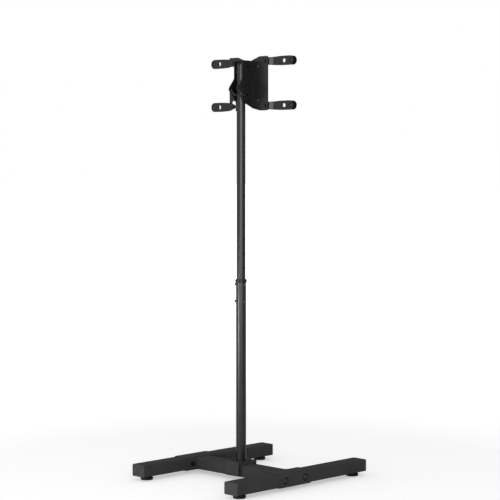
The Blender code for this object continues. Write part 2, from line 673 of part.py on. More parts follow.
def build_grub(parent, height):
    """Grub screw in the saddle's end that presses on the pole's foot."""
    tip = sqrt(LOWER_RADIUS ** 2 - (GRUB_OFFSET - GRUB_RADIUS) ** 2) + 2.0 * GAP
    outside = pole_point(GRUB_OFFSET, -SADDLE_WIDTH * HALF + GAP, height)
    inside = pole_point(GRUB_OFFSET, -tip, height)
    mesh = bmesh.new()
    add_rod(mesh, GRUB_RADIUS, inside, outside)
    grub = finish("pole_grub_screw", mesh, outside, black_steel, parent)
    socket = bmesh.new()
    deep = outside + Vector((SOCKET_DEPTH, 0.0, 0.0))
    add_hex(socket, SOCKET_ACROSS, deep, outside - Vector((CUT_MARGIN, 0.0, 0.0)))
    cut(grub, socket, "pole_grub_socket")
    return grub


def build_lower_pole(parent):
    """Fixed outer tube, with the two lock-screw bosses on its right side."""
    foot = pole_point(height=CROSSBAR_TOP + GAP)
    mesh = bmesh.new()
    add_ring(mesh, LOWER_RADIUS, LOWER_BORE, foot, pole_point(height=LOWER_TOP))
    pole = finish("lower_pole", mesh, foot, powder_coat, parent)
    bosses = bmesh.new()
    holes = bmesh.new()
    for height in LOCK_HEIGHTS:
        start = pole_point(0.0, LOWER_RADIUS - LOWER_WALL * HALF, height)
        add_rod(bosses, LOCK_BOSS_RADIUS, start, pole_point(0.0, LOWER_RADIUS + LOCK_BOSS_HEIGHT, height))
        reach = LOWER_RADIUS + LOCK_BOSS_HEIGHT + CUT_MARGIN
        add_rod(holes, LOCK_RADIUS + GAP, pole_point(0.0, -reach, height), pole_point(0.0, reach, height))
    fuse(pole, bosses, "lock_bosses")
    bore = bmesh.new()
    low = CROSSBAR_TOP - CUT_MARGIN
    add_rod(bore, LOWER_BORE, pole_point(height=low), pole_point(height=LOWER_TOP + CUT_MARGIN), POLE_STEPS)
    cut(pole, bore, "lower_pole_bore")
    cut(pole, holes, "lock_holes")
    return pole


def build_collar(parent):
    """Plastic collar on the rim of the lower tube, which guides the upper tube."""
    base = LOWER_TOP - COLLAR_SKIRT
    top = LOWER_TOP + GAP + COLLAR_LIP
    skirt_bore = LOWER_RADIUS + GAP
    guide_bore = UPPER_RADIUS + GAP
    profile = (
        (skirt_bore, base),
        (COLLAR_RADIUS - COLLAR_ROUND, base),
        (COLLAR_RADIUS, base + COLLAR_ROUND),
        (COLLAR_RADIUS, top - COLLAR_ROUND),
        (COLLAR_RADIUS - COLLAR_ROUND, top),
        (guide_bore, top),
        (guide_bore, LOWER_TOP + GAP),
        (skirt_bore, LOWER_TOP + GAP),
    )
    mesh = bmesh.new()
    add_turned(mesh, profile, pole_point(), (0.0, 0.0, 1.0), POLE_STEPS, closed=True)
    return finish("collar", mesh, pole_point(height=LOWER_TOP), black_plastic, parent)


def build_lock_screws(parent):
    """Screws that press on the upper tube: domed ones on the left, hexagonal ones on the right."""
    tip = UPPER_RADIUS + GAP
    for level, height in zip(("lower", "upper"), LOCK_HEIGHTS):
        base = pole_point(height=height)
        under = LOWER_RADIUS + GAP
        mesh = bmesh.new()
        profile = dome_head(LOCK_HEAD_RADIUS, LOCK_HEAD_HEIGHT, under, LOCK_RADIUS, under - tip)
        add_turned(mesh, profile, base, (-1.0, 0.0, 0.0))
        finish("lock_screw_left_" + level, mesh, base, black_steel, parent)
        under = LOWER_RADIUS + LOCK_BOSS_HEIGHT + GAP
        mesh = bmesh.new()
        add_rod(mesh, LOCK_RADIUS, pole_point(0.0, tip, height), pole_point(0.0, under + LOCK_RADIUS, height))
        name = "lock_screw_right_" + level
        screw = finish(name, mesh, base, black_steel, parent)
        head = bmesh.new()
        add_hex(head, LOCK_HEX_ACROSS, pole_point(0.0, under, height),
                pole_point(0.0, under + LOCK_HEAD_HEIGHT, height))
        fuse(screw, head, name + "_head")


def build_upper_pole(parent):
    """Sliding inner tube with its row of cross holes and the two cross tubes of the head bolts."""
    middle = pole_point(height=LOWER_TOP)
    plug = build_plug(parent)
    mesh = bmesh.new()
    add_ring(mesh, UPPER_RADIUS, UPPER_BORE, pole_point(height=UPPER_BOTTOM), pole_point(height=UPPER_TOP))
    pole = finish("upper_pole", mesh, middle, powder_coat, plug)
    bosses = bmesh.new()
    reach = EAR_INNER - GAP
    for radius, height in ((TILT_BOSS_RADIUS, TILT_HEIGHT), (CLAMP_BOSS_RADIUS, CLAMP_HEIGHT)):
        end = pole_point(0.0, reach, height)
        add_rod(bosses, radius, pole_point(0.0, -reach, height), end, POLE_STEPS // 2)
    fuse(pole, bosses, "head_bosses")
    holes = bmesh.new()
    for index in range(-HOLES_HIDDEN, HOLES_SHOWN):
        height = HOLE_FIRST + index * HOLE_PITCH
        far = UPPER_RADIUS + CUT_MARGIN
        add_rod(holes, HOLE_RADIUS, pole_point(0.0, -far, height), pole_point(0.0, far, height), HOLE_STEPS)
    far = EAR_INNER + CUT_MARGIN
    for radius, height in ((TILT_RADIUS, TILT_HEIGHT), (CLAMP_RADIUS, CLAMP_HEIGHT)):
        add_rod(holes, radius + GAP, pole_point(0.0, -far, height), pole_point(0.0, far, height))
    cut(pole, holes, "upper_pole_holes")
    return pole


def build_plug(parent):
    """Guide plug at the bottom of the upper tube, running in the lower tube."""
    top = UPPER_BOTTOM - GAP
    guide = LOWER_BORE - GAP
    profile = (
        (0.0, top - PLUG_FLANGE),
        (guide - COLLAR_ROUND, top - PLUG_FLANGE),
        (guide, top - PLUG_FLANGE + COLLAR_ROUND),
        (guide, top),
        (UPPER_BORE - GAP, top),
        (UPPER_BORE - GAP, top + PLUG_SPIGOT),
        (0.0, top + PLUG_SPIGOT),
    )
    mesh = bmesh.new()
    add_turned(mesh, profile, pole_point(), (0.0, 0.0, 1.0), POLE_STEPS)
    return finish("guide_plug", mesh, pole_point(height=LOWER_TOP), black_plastic, parent)


def build_top_cap(parent):
    """Plastic cap in the top of the upper tube."""
    under = UPPER_TOP + GAP
    top = under + TOP_CAP_HEIGHT
    profile = (
        (0.0, under - CAP_SPIGOT),
        (UPPER_BORE - GAP, under - CAP_SPIGOT),
        (UPPER_BORE - GAP, under),
        (UPPER_RADIUS, under),
        (UPPER_RADIUS, top - TOP_CAP_ROUND),
        (UPPER_RADIUS - TOP_CAP_ROUND, top),
        (0.0, top),
    )
    mesh = bmesh.new()
    add_turned(mesh, profile, pole_point(), (0.0, 0.0, 1.0), POLE_STEPS)
    return finish("pole_cap", mesh, pole_point(height=UPPER_TOP), black_plastic, parent)


def build_tilt_bolts(parent):
    """Pivot bolt and clamp bolt that hold the brackets to the upper tube."""
    near = EAR_OUTER
    base = pole_point(height=TILT_HEIGHT)
    far = EAR_OUTER + GAP
    profile = (
        (0.0, near),
        (TILT_HEAD_RADIUS - GAP, near),
        (TILT_RADIUS, near - SHEET),
        (TILT_RADIUS, -far),
        (TILT_NUT_RADIUS, -far),
        (TILT_NUT_RADIUS, -far - TILT_NUT_HEIGHT),
        (0.0, -far - TILT_NUT_HEIGHT),
    )
    mesh = bmesh.new()
    add_turned(mesh, profile, base, (-1.0, 0.0, 0.0))
    finish("tilt_bolt", mesh, base, black_steel, parent)
    base = pole_point(height=CLAMP_HEIGHT)
    mesh = bmesh.new()
    profile = dome_head(CLAMP_HEAD_RADIUS, CLAMP_HEAD_HEIGHT, far, CLAMP_RADIUS, 2.0 * far)[:-1]
    profile += flat_tail(CLAMP_HEAD_RADIUS, -far, CLAMP_NUT_HEIGHT)
    add_turned(mesh, profile, base, (-1.0, 0.0, 0.0))
    finish("clamp_bolt", mesh, base, black_steel, parent)


def ear_outline():
    """Side outline of a bracket's ear as (world y, z) points."""
    corners = (
        (BRACKET_FRONT, EAR_TOP_RISE, 0.0),
        (-EAR_REAR, EAR_TOP_RISE, FLANGE_ROUND),
        (-EAR_REAR, EAR_STEP_RISE, FLANGE_ROUND * 2.0),
        (-EAR_APEX, -EAR_APEX_DROP, EAR_APEX_ROUND),
        (-EAR_LOW, -EAR_LOW_DROP, FLANGE_ROUND * 2.0),
        (BRACKET_FRONT, -EAR_FOOT_DROP, 0.0),
    )
    return [(POLE_Y - forward, TILT_HEIGHT + rise) for forward, rise in rounded(corners)]


def flange_outline(sign):
    """Front outline of a bracket's flange as (x, z) points."""
    corners = (
        (EAR_INNER, FLANGE_FOOT + FLANGE_FOOT_RISE, 0.0),
        (FLANGE_EDGE - FLANGE_FOOT_RUN, FLANGE_FOOT, SHOULDER_ROUND),
        (FLANGE_EDGE, FLANGE_FOOT, FLANGE_ROUND),
        (FLANGE_EDGE, FLANGE_TOP, FLANGE_ROUND * HALF),
        (FLANGE_EDGE - FLANGE_TOP_RUN, FLANGE_TOP, SHOULDER_ROUND),
        (EAR_INNER, FLANGE_TOP - FLANGE_TOP_FALL, 0.0),
    )
    return [(sign * across, height) for across, height in rounded(corners)]


def slot_outline():
    """Outline of the arc slot about the tilt axis as (world y, z) points."""
    outline = []
    start = radians(SLOT_FROM)
    sweep = radians(SLOT_TO - SLOT_FROM)
    for radius, order in ((CLAMP_DROP + SLOT_HALF, 1), (CLAMP_DROP - SLOT_HALF, -1)):
        for step in list(range(SLOT_STEPS + 1))[::order]:
            turn = start + sweep * step / SLOT_STEPS
            outline.append((POLE_Y - radius * cos(turn), TILT_HEIGHT + radius * sin(turn)))
    return outline


def build_bracket(side, sign, parent):
    """Folded bracket: an ear beside the pole and a flange facing the screen."""
    pivot = pole_point(height=TILT_HEIGHT)
    name = "bracket_" + side
    mesh = bmesh.new()
    add_outline(mesh, ear_outline(), sign * EAR_INNER, sign * EAR_OUTER, "X")
    bracket = finish(name, mesh, pivot, powder_coat, parent)
    flange = bmesh.new()
    add_outline(flange, flange_outline(sign), POLE_Y - FLANGE_REAR, POLE_Y - BRACKET_FRONT, "Y")
    fuse(bracket, flange, name + "_flange")
    slot = bmesh.new()
    inner = sign * (EAR_INNER - CUT_MARGIN)
    outer = sign * (EAR_OUTER + CUT_MARGIN)
    add_outline(slot, slot_outline(), inner, outer, "X")
    cut(bracket, slot, name + "_slot")
    if side == "left":
        sink = bmesh.new()
        profile = (
            (0.0, EAR_INNER - GAP),
            (TILT_RADIUS, EAR_INNER - GAP),
            (TILT_HEAD_RADIUS, EAR_OUTER + GAP * HALF),
            (TILT_HEAD_RADIUS, EAR_OUTER + CUT_MARGIN),
            (0.0, EAR_OUTER + CUT_MARGIN),
        )
        add_turned(sink, profile, pivot, (-1.0, 0.0, 0.0))
        cut(bracket, sink, name + "_sink")
    else:
        open_flange(bracket, name)
    cut(bracket, bracket_holes(sign, inner, outer), name + "_holes")
    return bracket


def bracket_holes(sign, inner, outer):
    """Cutter for the round holes of a bracket's ear and flange."""
    holes = bmesh.new()
    pivot = pole_point(height=TILT_HEIGHT)
    add_rod(holes, TILT_RADIUS + GAP, (inner, pivot.y, pivot.z), (outer, pivot.y, pivot.z))
    for forward, rise in SPARE_HOLES:
        start = pole_point(forward, inner, TILT_HEIGHT + rise)
        add_rod(holes, SPARE_HOLE_RADIUS, start, pole_point(forward, outer, TILT_HEIGHT + rise))
    for height in RIVET_HEIGHTS:
        add_sheet_hole(holes, RIVET_RADIUS + GAP, sign * RIVET_X, height)
    for height in ARM_HEIGHTS:
        add_sheet_hole(holes, ARM_PIVOT_RADIUS + GAP, sign * ARM_PIVOT_X, height)
    return holes


def open_flange(bracket, name):
    """Cut the open window and the notch of the right flange, and leave an eye round its lower arm's pivot."""
    rear = POLE_Y - FLANGE_REAR + CUT_MARGIN
    front = POLE_Y - BRACKET_FRONT - CUT_MARGIN
    beyond = FLANGE_EDGE + CUT_MARGIN
    below = FLANGE_FOOT - CUT_MARGIN
    inner = ARM_PIVOT_X - WINDOW_WIDTH
    foot = TILT_HEIGHT + WINDOW_RISE
    top = ARM_HEIGHTS[1] - WINDOW_UNDER_ARM
    window = bmesh.new()
    corners = (
        (inner, foot, WINDOW_ROUND),
        (beyond, foot, 0.0),
        (beyond, top, 0.0),
        (inner, top, WINDOW_ROUND),
    )
    add_outline(window, rounded(corners), rear, front, "Y")
    cut(bracket, window, name + "_window")
    inner = ARM_PIVOT_X - NOTCH_WIDTH
    outer = ARM_PIVOT_X + NOTCH_PAST_ARM
    lip = ARM_HEIGHTS[0] + NOTCH_LIP_OVER_ARM
    top = ARM_HEIGHTS[0] + NOTCH_OVER_ARM
    notch = bmesh.new()
    corners = (
        (inner, below, 0.0),
        (beyond, below, 0.0),
        (beyond, lip, 0.0),
        (outer, lip, 0.0),
        (outer, top, NOTCH_ROUND),
        (inner, top, NOTCH_ROUND),
    )
    add_outline(notch, rounded(corners), rear, front, "Y")
    cut(bracket, notch, name + "_notch")
    eye = bmesh.new()
    centre = (ARM_PIVOT_X, ARM_HEIGHTS[0])
    start = pole_point(FLANGE_REAR, *centre)
    add_rod(eye, ARM_ROOT_HALF, start, pole_point(BRACKET_FRONT, *centre), SCREW_STEPS * 2)
    fuse(bracket, eye, name + "_eye")


def add_sheet_hole(mesh, radius, across, height, front=BRACKET_FRONT):
    """Add the cutter for a hole through the head's sheets at a place."""
    rear = pole_point(FLANGE_REAR - CUT_MARGIN, across, height)
    add_rod(mesh, radius, rear, pole_point(front + CUT_MARGIN, across, height))


def build_front_plate(parent):
    """Flat plate across the front of the two brackets."""
    pivot = pole_point(height=TILT_HEIGHT)
    corners = [(across * PLATE_HALF_WIDTH, height, PLATE_ROUND)
               for across, height in ((-1, PLATE_FOOT), (1, PLATE_FOOT), (1, PLATE_TOP), (-1, PLATE_TOP))]
    rear = POLE_Y - ARM_ROOT_REAR
    mesh = bmesh.new()
    add_outline(mesh, rounded(corners), rear, rear - SHEET, "Y")
    plate = finish("front_plate", mesh, pivot, powder_coat, parent)
    holes = bmesh.new()
    for across in (-RIVET_X, RIVET_X):
        for height in RIVET_HEIGHTS:
            add_sheet_hole(holes, RIVET_RADIUS + GAP, across, height, ARM_ROOT_REAR + SHEET)
    add_sheet_hole(holes, PLATE_WINDOW_RADIUS, 0.0, (PLATE_TOP + PLATE_FOOT) * HALF, ARM_ROOT_REAR + SHEET)
    cut(plate, holes, "front_plate_holes")
    for side, sign in SIDES.items():
        for level, height in zip(LEVELS, RIVET_HEIGHTS):
            build_rivet("_".join(("plate_rivet", level, side)), sign * RIVET_X, height, plate)
    return plate


def build_rivet(name, across, height, parent):
    """Domed rivet through a bracket and the front plate."""
    base = pole_point(FLANGE_REAR, across, height)
    tail = -(2.0 * SHEET + 2.0 * GAP)
    mesh = bmesh.new()
    profile = dome_head(RIVET_HEAD_RADIUS, RIVET_HEAD_HEIGHT, GAP, RIVET_RADIUS, GAP - tail)[:-1]
    profile += flat_tail(RIVET_TAIL_RADIUS, tail, RIVET_TAIL_HEIGHT)
    add_turned(mesh, profile, base, (0.0, 1.0, 0.0))
    return finish(name, mesh, base, black_steel, parent)


def arm_outline(sign, height):
    """Outline of an arm as (x, z) points, from its pivot out to its rounded tip."""
    upper = [
        (0.0, ARM_ROOT_HALF),
        (ARM_SHOULDER_AT, ARM_SHOULDER_HALF),
        (ARM_NECK_AT, ARM_NECK_HALF),
        (ARM_HEAD_AT, ARM_HEAD_HALF),
    ]
    outline = list(upper)
    for step in range(ARM_TIP_STEPS + 1):
        turn = pi * HALF - pi * step / ARM_TIP_STEPS
        outline.append((ARM_TIP_CENTRE + ARM_HEAD_HALF * cos(turn), ARM_HEAD_HALF * sin(turn)))
    outline += [(along, -half) for along, half in reversed(upper)]
    for step in range(1, ARM_TIP_STEPS // 2):
        turn = -pi * HALF - pi * step / (ARM_TIP_STEPS // 2)
        outline.append((ARM_ROOT_HALF * cos(turn), ARM_ROOT_HALF * sin(turn)))
    return [(sign * (ARM_PIVOT_X + along), height + rise) for along, rise in outline]


def arm_strip(sign):
    """Top outline of the joggled sheet of an arm as (x, y) points."""
    root = POLE_Y - ARM_ROOT_REAR
    tip = POLE_Y - ARM_REAR
    first = ARM_JOGGLE_FROM
    last = ARM_JOGGLE_FROM + ARM_STEP
    bend = SHEET * tan(pi / 8.0)
    end = ARM_TIP_CENTRE + ARM_HEAD_HALF + CUT_MARGIN
    begin = -ARM_ROOT_HALF - CUT_MARGIN
    rear = [(begin, root), (first, root), (last, tip), (end, tip)]
    front = [(last - bend, tip - SHEET), (first - bend, root - SHEET), (begin, root - SHEET)]
    front.insert(0, (end, tip - SHEET))
    return [(sign * (ARM_PIVOT_X + along), depth) for along, depth in rear + front]


def build_arm(side, sign, level, height, parent):
    """Swivel arm with a joggle, a screw hole and a rubber pad near its tip."""
    place = "_".join((level, side))
    pivot = pole_point(ARM_ROOT_REAR, sign * ARM_PIVOT_X, height)
    mesh = bmesh.new()
    add_outline(mesh, arm_outline(sign, height), POLE_Y - FLANGE_REAR, POLE_Y - ARM_REAR - 2.0 * SHEET, "Y")
    arm = finish("arm_" + place, mesh, pivot, powder_coat, parent)
    strip = bmesh.new()
    span = ARM_HEAD_HALF + CUT_MARGIN
    add_outline(strip, arm_strip(sign), height - span, height + span, "Z")
    boolean(arm, strip, "arm_sheet_" + place, "INTERSECT")
    holes = bmesh.new()
    for along, radius in ((0.0, ARM_PIVOT_RADIUS + GAP), (ARM_HOLE_AT, ARM_HOLE_RADIUS),
                          (ARM_PAD_AT, ARM_PAD_HOLE_RADIUS)):
        add_sheet_hole(holes, radius, sign * (ARM_PIVOT_X + along), height, ARM_REAR + SHEET)
    cut(arm, holes, "arm_holes_" + place)
    build_pad(place, sign, height, arm)
    build_arm_pivot(place, sign, height, parent)
    return arm


def build_pad(place, sign, height, parent):
    """Rubber pad on the screen side of an arm's tip, with its stud in the arm's outer hole."""
    base = pole_point(ARM_REAR + SHEET + GAP, sign * (ARM_PIVOT_X + ARM_PAD_AT), height)
    stud = SHEET - ARM_PAD_STUD_SUNK
    profile = (
        (0.0, -stud),
        (ARM_PAD_STUD, -stud),
        (ARM_PAD_STUD, 0.0),
        (ARM_PAD_RADIUS, 0.0),
        (ARM_PAD_RADIUS, ARM_PAD_HEIGHT - ARM_PAD_ROUND),
        (ARM_PAD_RADIUS - ARM_PAD_ROUND, ARM_PAD_HEIGHT),
        (0.0, ARM_PAD_HEIGHT),
    )
    mesh = bmesh.new()
    add_turned(mesh, profile, base, (0.0, -1.0, 0.0))
    return finish("arm_pad_" + place, mesh, base, black_rubber, parent)


def build_arm_pivot(place, sign, height, parent):
    """Bolt that an arm turns on: a hexagonal head behind the bracket and a flat tail in front."""
    base = pole_point(FLANGE_REAR, sign * ARM_PIVOT_X, height)
    tail = 2.0 * SHEET + 2.0 * GAP
    profile = (
        (0.0, -GAP - ARM_PIVOT_HEX_HEIGHT * HALF),
        (ARM_PIVOT_RADIUS, -GAP - ARM_PIVOT_HEX_HEIGHT * HALF),
        (ARM_PIVOT_RADIUS, tail),
        (ARM_PIVOT_TAIL, tail),
        (ARM_PIVOT_TAIL, tail + ARM_PIVOT_TAIL_HEIGHT),
        (0.0, tail + ARM_PIVOT_TAIL_HEIGHT),
    )
    mesh = bmesh.new()
    add_turned(mesh, profile, base, (0.0, -1.0, 0.0))
    name = "arm_pivot_" + place
    bolt = finish(name, mesh, base, black_steel, parent)
    head = bmesh.new()
    near = pole_point(FLANGE_REAR - GAP, sign * ARM_PIVOT_X, height)
    add_hex(head, ARM_PIVOT_HEX, near, near + Vector((0.0, ARM_PIVOT_HEX_HEIGHT, 0.0)))
    fuse(bolt, head, name + "_head")
    return bolt


def build_head(parent):
    """Build the brackets, the front plate and the arms."""
    left = build_bracket("left", SIDES["left"], parent)
    build_bracket("right", SIDES["right"], left)
    build_front_plate(left)
    for side, sign in SIDES.items():
        for level, height in LEVELS.items():
            build_arm(side, sign, level, height, left)


def main():
    """Build the whole stand."""
    clear_scene()
    crossbar = build_base()
    saddle = build_saddle(crossbar)
    lower = build_lower_pole(saddle)
    build_collar(lower)
    build_lock_screws(lower)
    upper = build_upper_pole(lower)
    build_top_cap(upper)
    build_tilt_bolts(upper)
    build_head(upper)


main()
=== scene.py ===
"""Looks of the monitor floor stand: coated and rounded pieces, welds, sockets, threads and the studio."""
from __future__ import annotations

import json
import logging
import sys
from collections.abc import Callable, Iterable, Sequence
from dataclasses import dataclass, field
from enum import Enum
from math import cos, pi, radians, sin

import bmesh
import bpy
from mathutils import Matrix, Vector

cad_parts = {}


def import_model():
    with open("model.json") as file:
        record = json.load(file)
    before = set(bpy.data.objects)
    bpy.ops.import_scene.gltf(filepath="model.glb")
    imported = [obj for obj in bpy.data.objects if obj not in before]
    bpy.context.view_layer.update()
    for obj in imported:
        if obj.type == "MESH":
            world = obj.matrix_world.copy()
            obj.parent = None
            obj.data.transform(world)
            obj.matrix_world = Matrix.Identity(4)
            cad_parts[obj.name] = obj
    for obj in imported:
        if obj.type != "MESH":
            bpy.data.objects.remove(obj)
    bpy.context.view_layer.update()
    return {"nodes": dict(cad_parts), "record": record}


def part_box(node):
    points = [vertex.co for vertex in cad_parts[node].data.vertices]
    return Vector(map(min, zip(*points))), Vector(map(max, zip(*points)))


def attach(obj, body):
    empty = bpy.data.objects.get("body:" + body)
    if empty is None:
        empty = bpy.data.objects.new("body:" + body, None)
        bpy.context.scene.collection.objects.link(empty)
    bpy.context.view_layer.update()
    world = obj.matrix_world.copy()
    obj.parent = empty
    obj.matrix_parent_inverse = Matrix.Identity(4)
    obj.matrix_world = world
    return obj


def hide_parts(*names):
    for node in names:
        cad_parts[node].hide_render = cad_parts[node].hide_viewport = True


LOG = logging.getLogger("stand")
MM = 0.001
HALF = 0.5
FULL_TURN = 2.0 * pi
NUT_SPACE = 0.3 * MM
MERGE_DISTANCE = 0.004 * MM
PLANE_TOLERANCE = 0.02 * MM
BEND_TOLERANCE = 0.1 * MM
SMALL_EDGE = 0.2 * MM
SCREW_EDGE = 0.25 * MM
PART_EDGE = 0.3 * MM
FLAT_ANGLE = radians(0.4)
EDGE_ANGLE = radians(33.0)
SMOOTH_ANGLE = radians(38.0)
SCREW_STEPS = 32
ROUND_STEPS = 64
HEXAGON = 6
# A weld bead: its slow and its quick swelling, as share and rate, and a ripple's length over its width.
SWELL, SWELL_RATE = 0.09, 2.3
RIPPLE, RIPPLE_RATE = 0.05, 5.1
RIPPLE_LENGTH = 0.75
UP = Vector((0.0, 0.0, 1.0))
FORWARD = Vector((0.0, -1.0, 0.0))
WHITE = (1.0, 1.0, 1.0, 1.0)
OUTWARD = {"left": Vector((-1.0, 0.0, 0.0)), "right": Vector((1.0, 0.0, 0.0))}
SIDES = tuple(OUTWARD)
ENDS = ("front", "rear")
LEVELS = ("lower", "upper")
Point = tuple[float, float, float]
Pair = tuple[float, float]
Profile = Sequence[Pair]
Mesh = bmesh.types.BMesh
Socket = bpy.types.NodeSocket
Tree = bpy.types.NodeTree


class Hue(Enum):
    """Base colours of the finishes, in linear light."""

    # The black powder coat comes as three copies of one paint: the base's copy is lighter, which is painted
    # light, and the sheet and tube copies are darker, which is painted shade.
    COAT = (0.0385, 0.0387, 0.0395)
    COAT_SHADED_SHEET = (0.0045, 0.0046, 0.0048)
    COAT_SHADED_TUBE = (0.0085, 0.0086, 0.0089)
    COAT_WORN = (0.06, 0.06, 0.062)
    STEEL = (0.1, 0.1, 0.103)
    STEEL_WORN = (0.19, 0.185, 0.18)
    BLACKED = (0.022, 0.022, 0.023)
    BOLT = (0.036, 0.036, 0.037)
    COLLAR = (0.007, 0.007, 0.0073)
    PLASTIC = (0.004, 0.004, 0.0042)
    # The caps' copy of the black plastic is much lighter: painted light on the lit leg ends.
    PLASTIC_LIT_CAP = (0.042, 0.042, 0.043)
    PLASTIC_WORN = (0.03, 0.03, 0.031)
    RUBBER = (0.004, 0.004, 0.0042)
    RUBBER_WORN = (0.012, 0.012, 0.0118)
    DUST = (0.16, 0.155, 0.15)
    FLOOR = (0.86, 0.86, 0.865)


class Grain(Enum):
    """How the fine relief of a finish runs."""

    PEEL = "peel"
    DRAWN = "drawn"
    TURNED = "turned"
    MOULDED = "moulded"


@dataclass(frozen=True)
class Finish:
    """One surface finish and the sizes of its relief."""

    name: str
    slot: str  # material slot in the record
    hue: Hue  # colour of the sound surface
    worn: Hue  # colour where an edge or a rub has polished it
    grain: Grain  # kind of fine relief
    roughness: Pair  # its middle, and how far it drifts either way
    specular: float  # specular level of the shader
    relief: Pair  # size and height of the relief, in metres
    wear: Pair  # strength of the worn edges, and their width in metres
    dust: float  # strength of the dust on upward faces
    metallic: float = 0.0


# Lighter copy of the black powder coat: painted light on the base near the bright floor.
POWDER = Finish(
    "powder_coat", "powder_black", Hue.COAT, Hue.COAT_WORN, Grain.PEEL, roughness=(0.55, 0.06),
    specular=0.02, relief=(0.9 * MM, 0.012 * MM), wear=(0.35, 0.5 * MM), dust=0.05)
# Darker copy of the black powder coat: painted shade on the head's sheets.
SHEET = Finish(
    "powder_coat_shaded_sheet", "powder_black", Hue.COAT_SHADED_SHEET, Hue.COAT_WORN, Grain.PEEL, roughness=(0.31, 0.03),
    specular=0.42, relief=(0.9 * MM, 0.002 * MM), wear=(0.1, 0.4 * MM), dust=0.02)
# Darker copy of the black powder coat, which the sliding tube shares: painted shade on the pole's tubes.
TUBE = Finish(
    "powder_coat_shaded_tube", "powder_black", Hue.COAT_SHADED_TUBE, Hue.COAT_WORN, Grain.PEEL, roughness=(0.23, 0.02),
    specular=0.4, relief=(1.1 * MM, 0.0007 * MM), wear=(0.12, 0.4 * MM), dust=0.03)
SLIDING = Finish(
    "sliding_tube", "powder_black", Hue.COAT_SHADED_TUBE, Hue.COAT_WORN, Grain.DRAWN, roughness=(0.23, 0.02),
    specular=0.38, relief=(0.7 * MM, 0.0005 * MM), wear=(0.12, 0.4 * MM), dust=0.02)
# Near-black inside of the tubes: painted shade in the hollow, seen through the holes and ends.
SHADED_INSIDE = Finish(
    "painted_shade_inside", "powder_black", Hue.RUBBER, Hue.RUBBER_WORN, Grain.DRAWN, roughness=(0.8, 0.06),
    specular=0.05, relief=(0.7 * MM, 0.006 * MM), wear=(0.1, 0.3 * MM), dust=0.0)
STEEL = Finish(
    "black_steel", "black_steel", Hue.STEEL, Hue.STEEL_WORN, Grain.TURNED, roughness=(0.34, 0.08),
    specular=0.5, relief=(0.35 * MM, 0.006 * MM), wear=(0.6, 0.3 * MM), dust=0.03, metallic=0.85)
BLACKED = Finish(
    "blacked_steel", "black_steel", Hue.BLACKED, Hue.STEEL, Grain.TURNED, roughness=(0.4, 0.08),
    specular=0.4, relief=(0.35 * MM, 0.006 * MM), wear=(0.4, 0.3 * MM), dust=0.03, metallic=0.85)
BOLT = Finish(
    "bolt_steel", "black_steel", Hue.BOLT, Hue.STEEL, Grain.TURNED, roughness=(0.24, 0.05),
    specular=0.5, relief=(0.35 * MM, 0.003 * MM), wear=(0.4, 0.3 * MM), dust=0.02, metallic=0.85)
COLLAR = Finish(
    "collar_plastic", "black_plastic", Hue.COLLAR, Hue.PLASTIC_WORN, Grain.MOULDED, roughness=(0.24, 0.05),
    specular=0.24, relief=(0.8 * MM, 0.003 * MM), wear=(0.3, 0.4 * MM), dust=0.03)
PLASTIC = Finish(
    "black_plastic", "black_plastic", Hue.PLASTIC, Hue.PLASTIC_WORN, Grain.MOULDED, roughness=(0.32, 0.07),
    specular=0.2, relief=(0.8 * MM, 0.006 * MM), wear=(0.3, 0.5 * MM), dust=0.05)
# Lighter copy of the black plastic: painted light on the caps at the leg ends.
CAP = Finish(
    "lit_cap_plastic", "black_plastic", Hue.PLASTIC_LIT_CAP, Hue.COAT_WORN, Grain.MOULDED, roughness=(0.45, 0.06),
    specular=0.15, relief=(0.8 * MM, 0.008 * MM), wear=(0.3, 0.5 * MM), dust=0.05)
RUBBER = Finish(
    "black_rubber", "black_rubber", Hue.RUBBER, Hue.RUBBER_WORN, Grain.MOULDED, roughness=(0.72, 0.08),
    specular=0.06, relief=(0.5 * MM, 0.015 * MM), wear=(0.4, 0.6 * MM), dust=0.08)


# Two layers of a relief: the first one's share and detail, then the second one's detail and relative scale.
RELIEF = {
    Grain.PEEL: (0.65, 2.0, 2.0, 0.3),
    Grain.DRAWN: (0.55, 4.0, 2.0, 1.0),
    Grain.TURNED: (0.5, 5.0, 2.0, 0.2),
    Grain.MOULDED: (0.5, 0.0, 3.0, 1.0),
}
# Patchy noises: scale per metre, detail, and the two values between which each is used.
EDGE_BREAKS = (90.0, 6.0, 0.42, 0.62)
DRIFT_CLOUDS = (14.0, 4.0, 0.3, 0.7)
DRIFT_SPECKS = (260.0, 3.0, 0.35, 0.65)
SCRATCHES = (18.0, 5.0, 0.66, 0.70)
DUST_SPECKS = (420.0, 3.0, 0.45, 0.7)
DUST_CLOUDS = (22.0, 3.0, 0.35, 0.7)
# How drawn marks and scratches run.
DRAWN_STRETCH = (1.0, 1.0, 0.035)
SCRATCH_STRETCH = (1.0, 22.0, 1.0)
SCRATCH_TURN = (radians(12.0), radians(31.0), radians(24.0))
# Match of the widened and the true normal where wear starts and where it is full.
EDGE_MATCH = (0.985, 0.90)
EDGE_SAMPLES = 6
# How far up a face looks where dust starts to lie and where it lies fully.
DUST_SLOPE = (0.6, 1.0)
# Darkest and lightest of the drifting shade, and what scratches, dust and rubs do to the roughness.
SHADE_RANGE = (0.88, 1.12)
SCRATCH_SHINE = -0.7
DUST_ROUGHNESS = 0.5
RUBBED_ROUGHNESS = -0.1


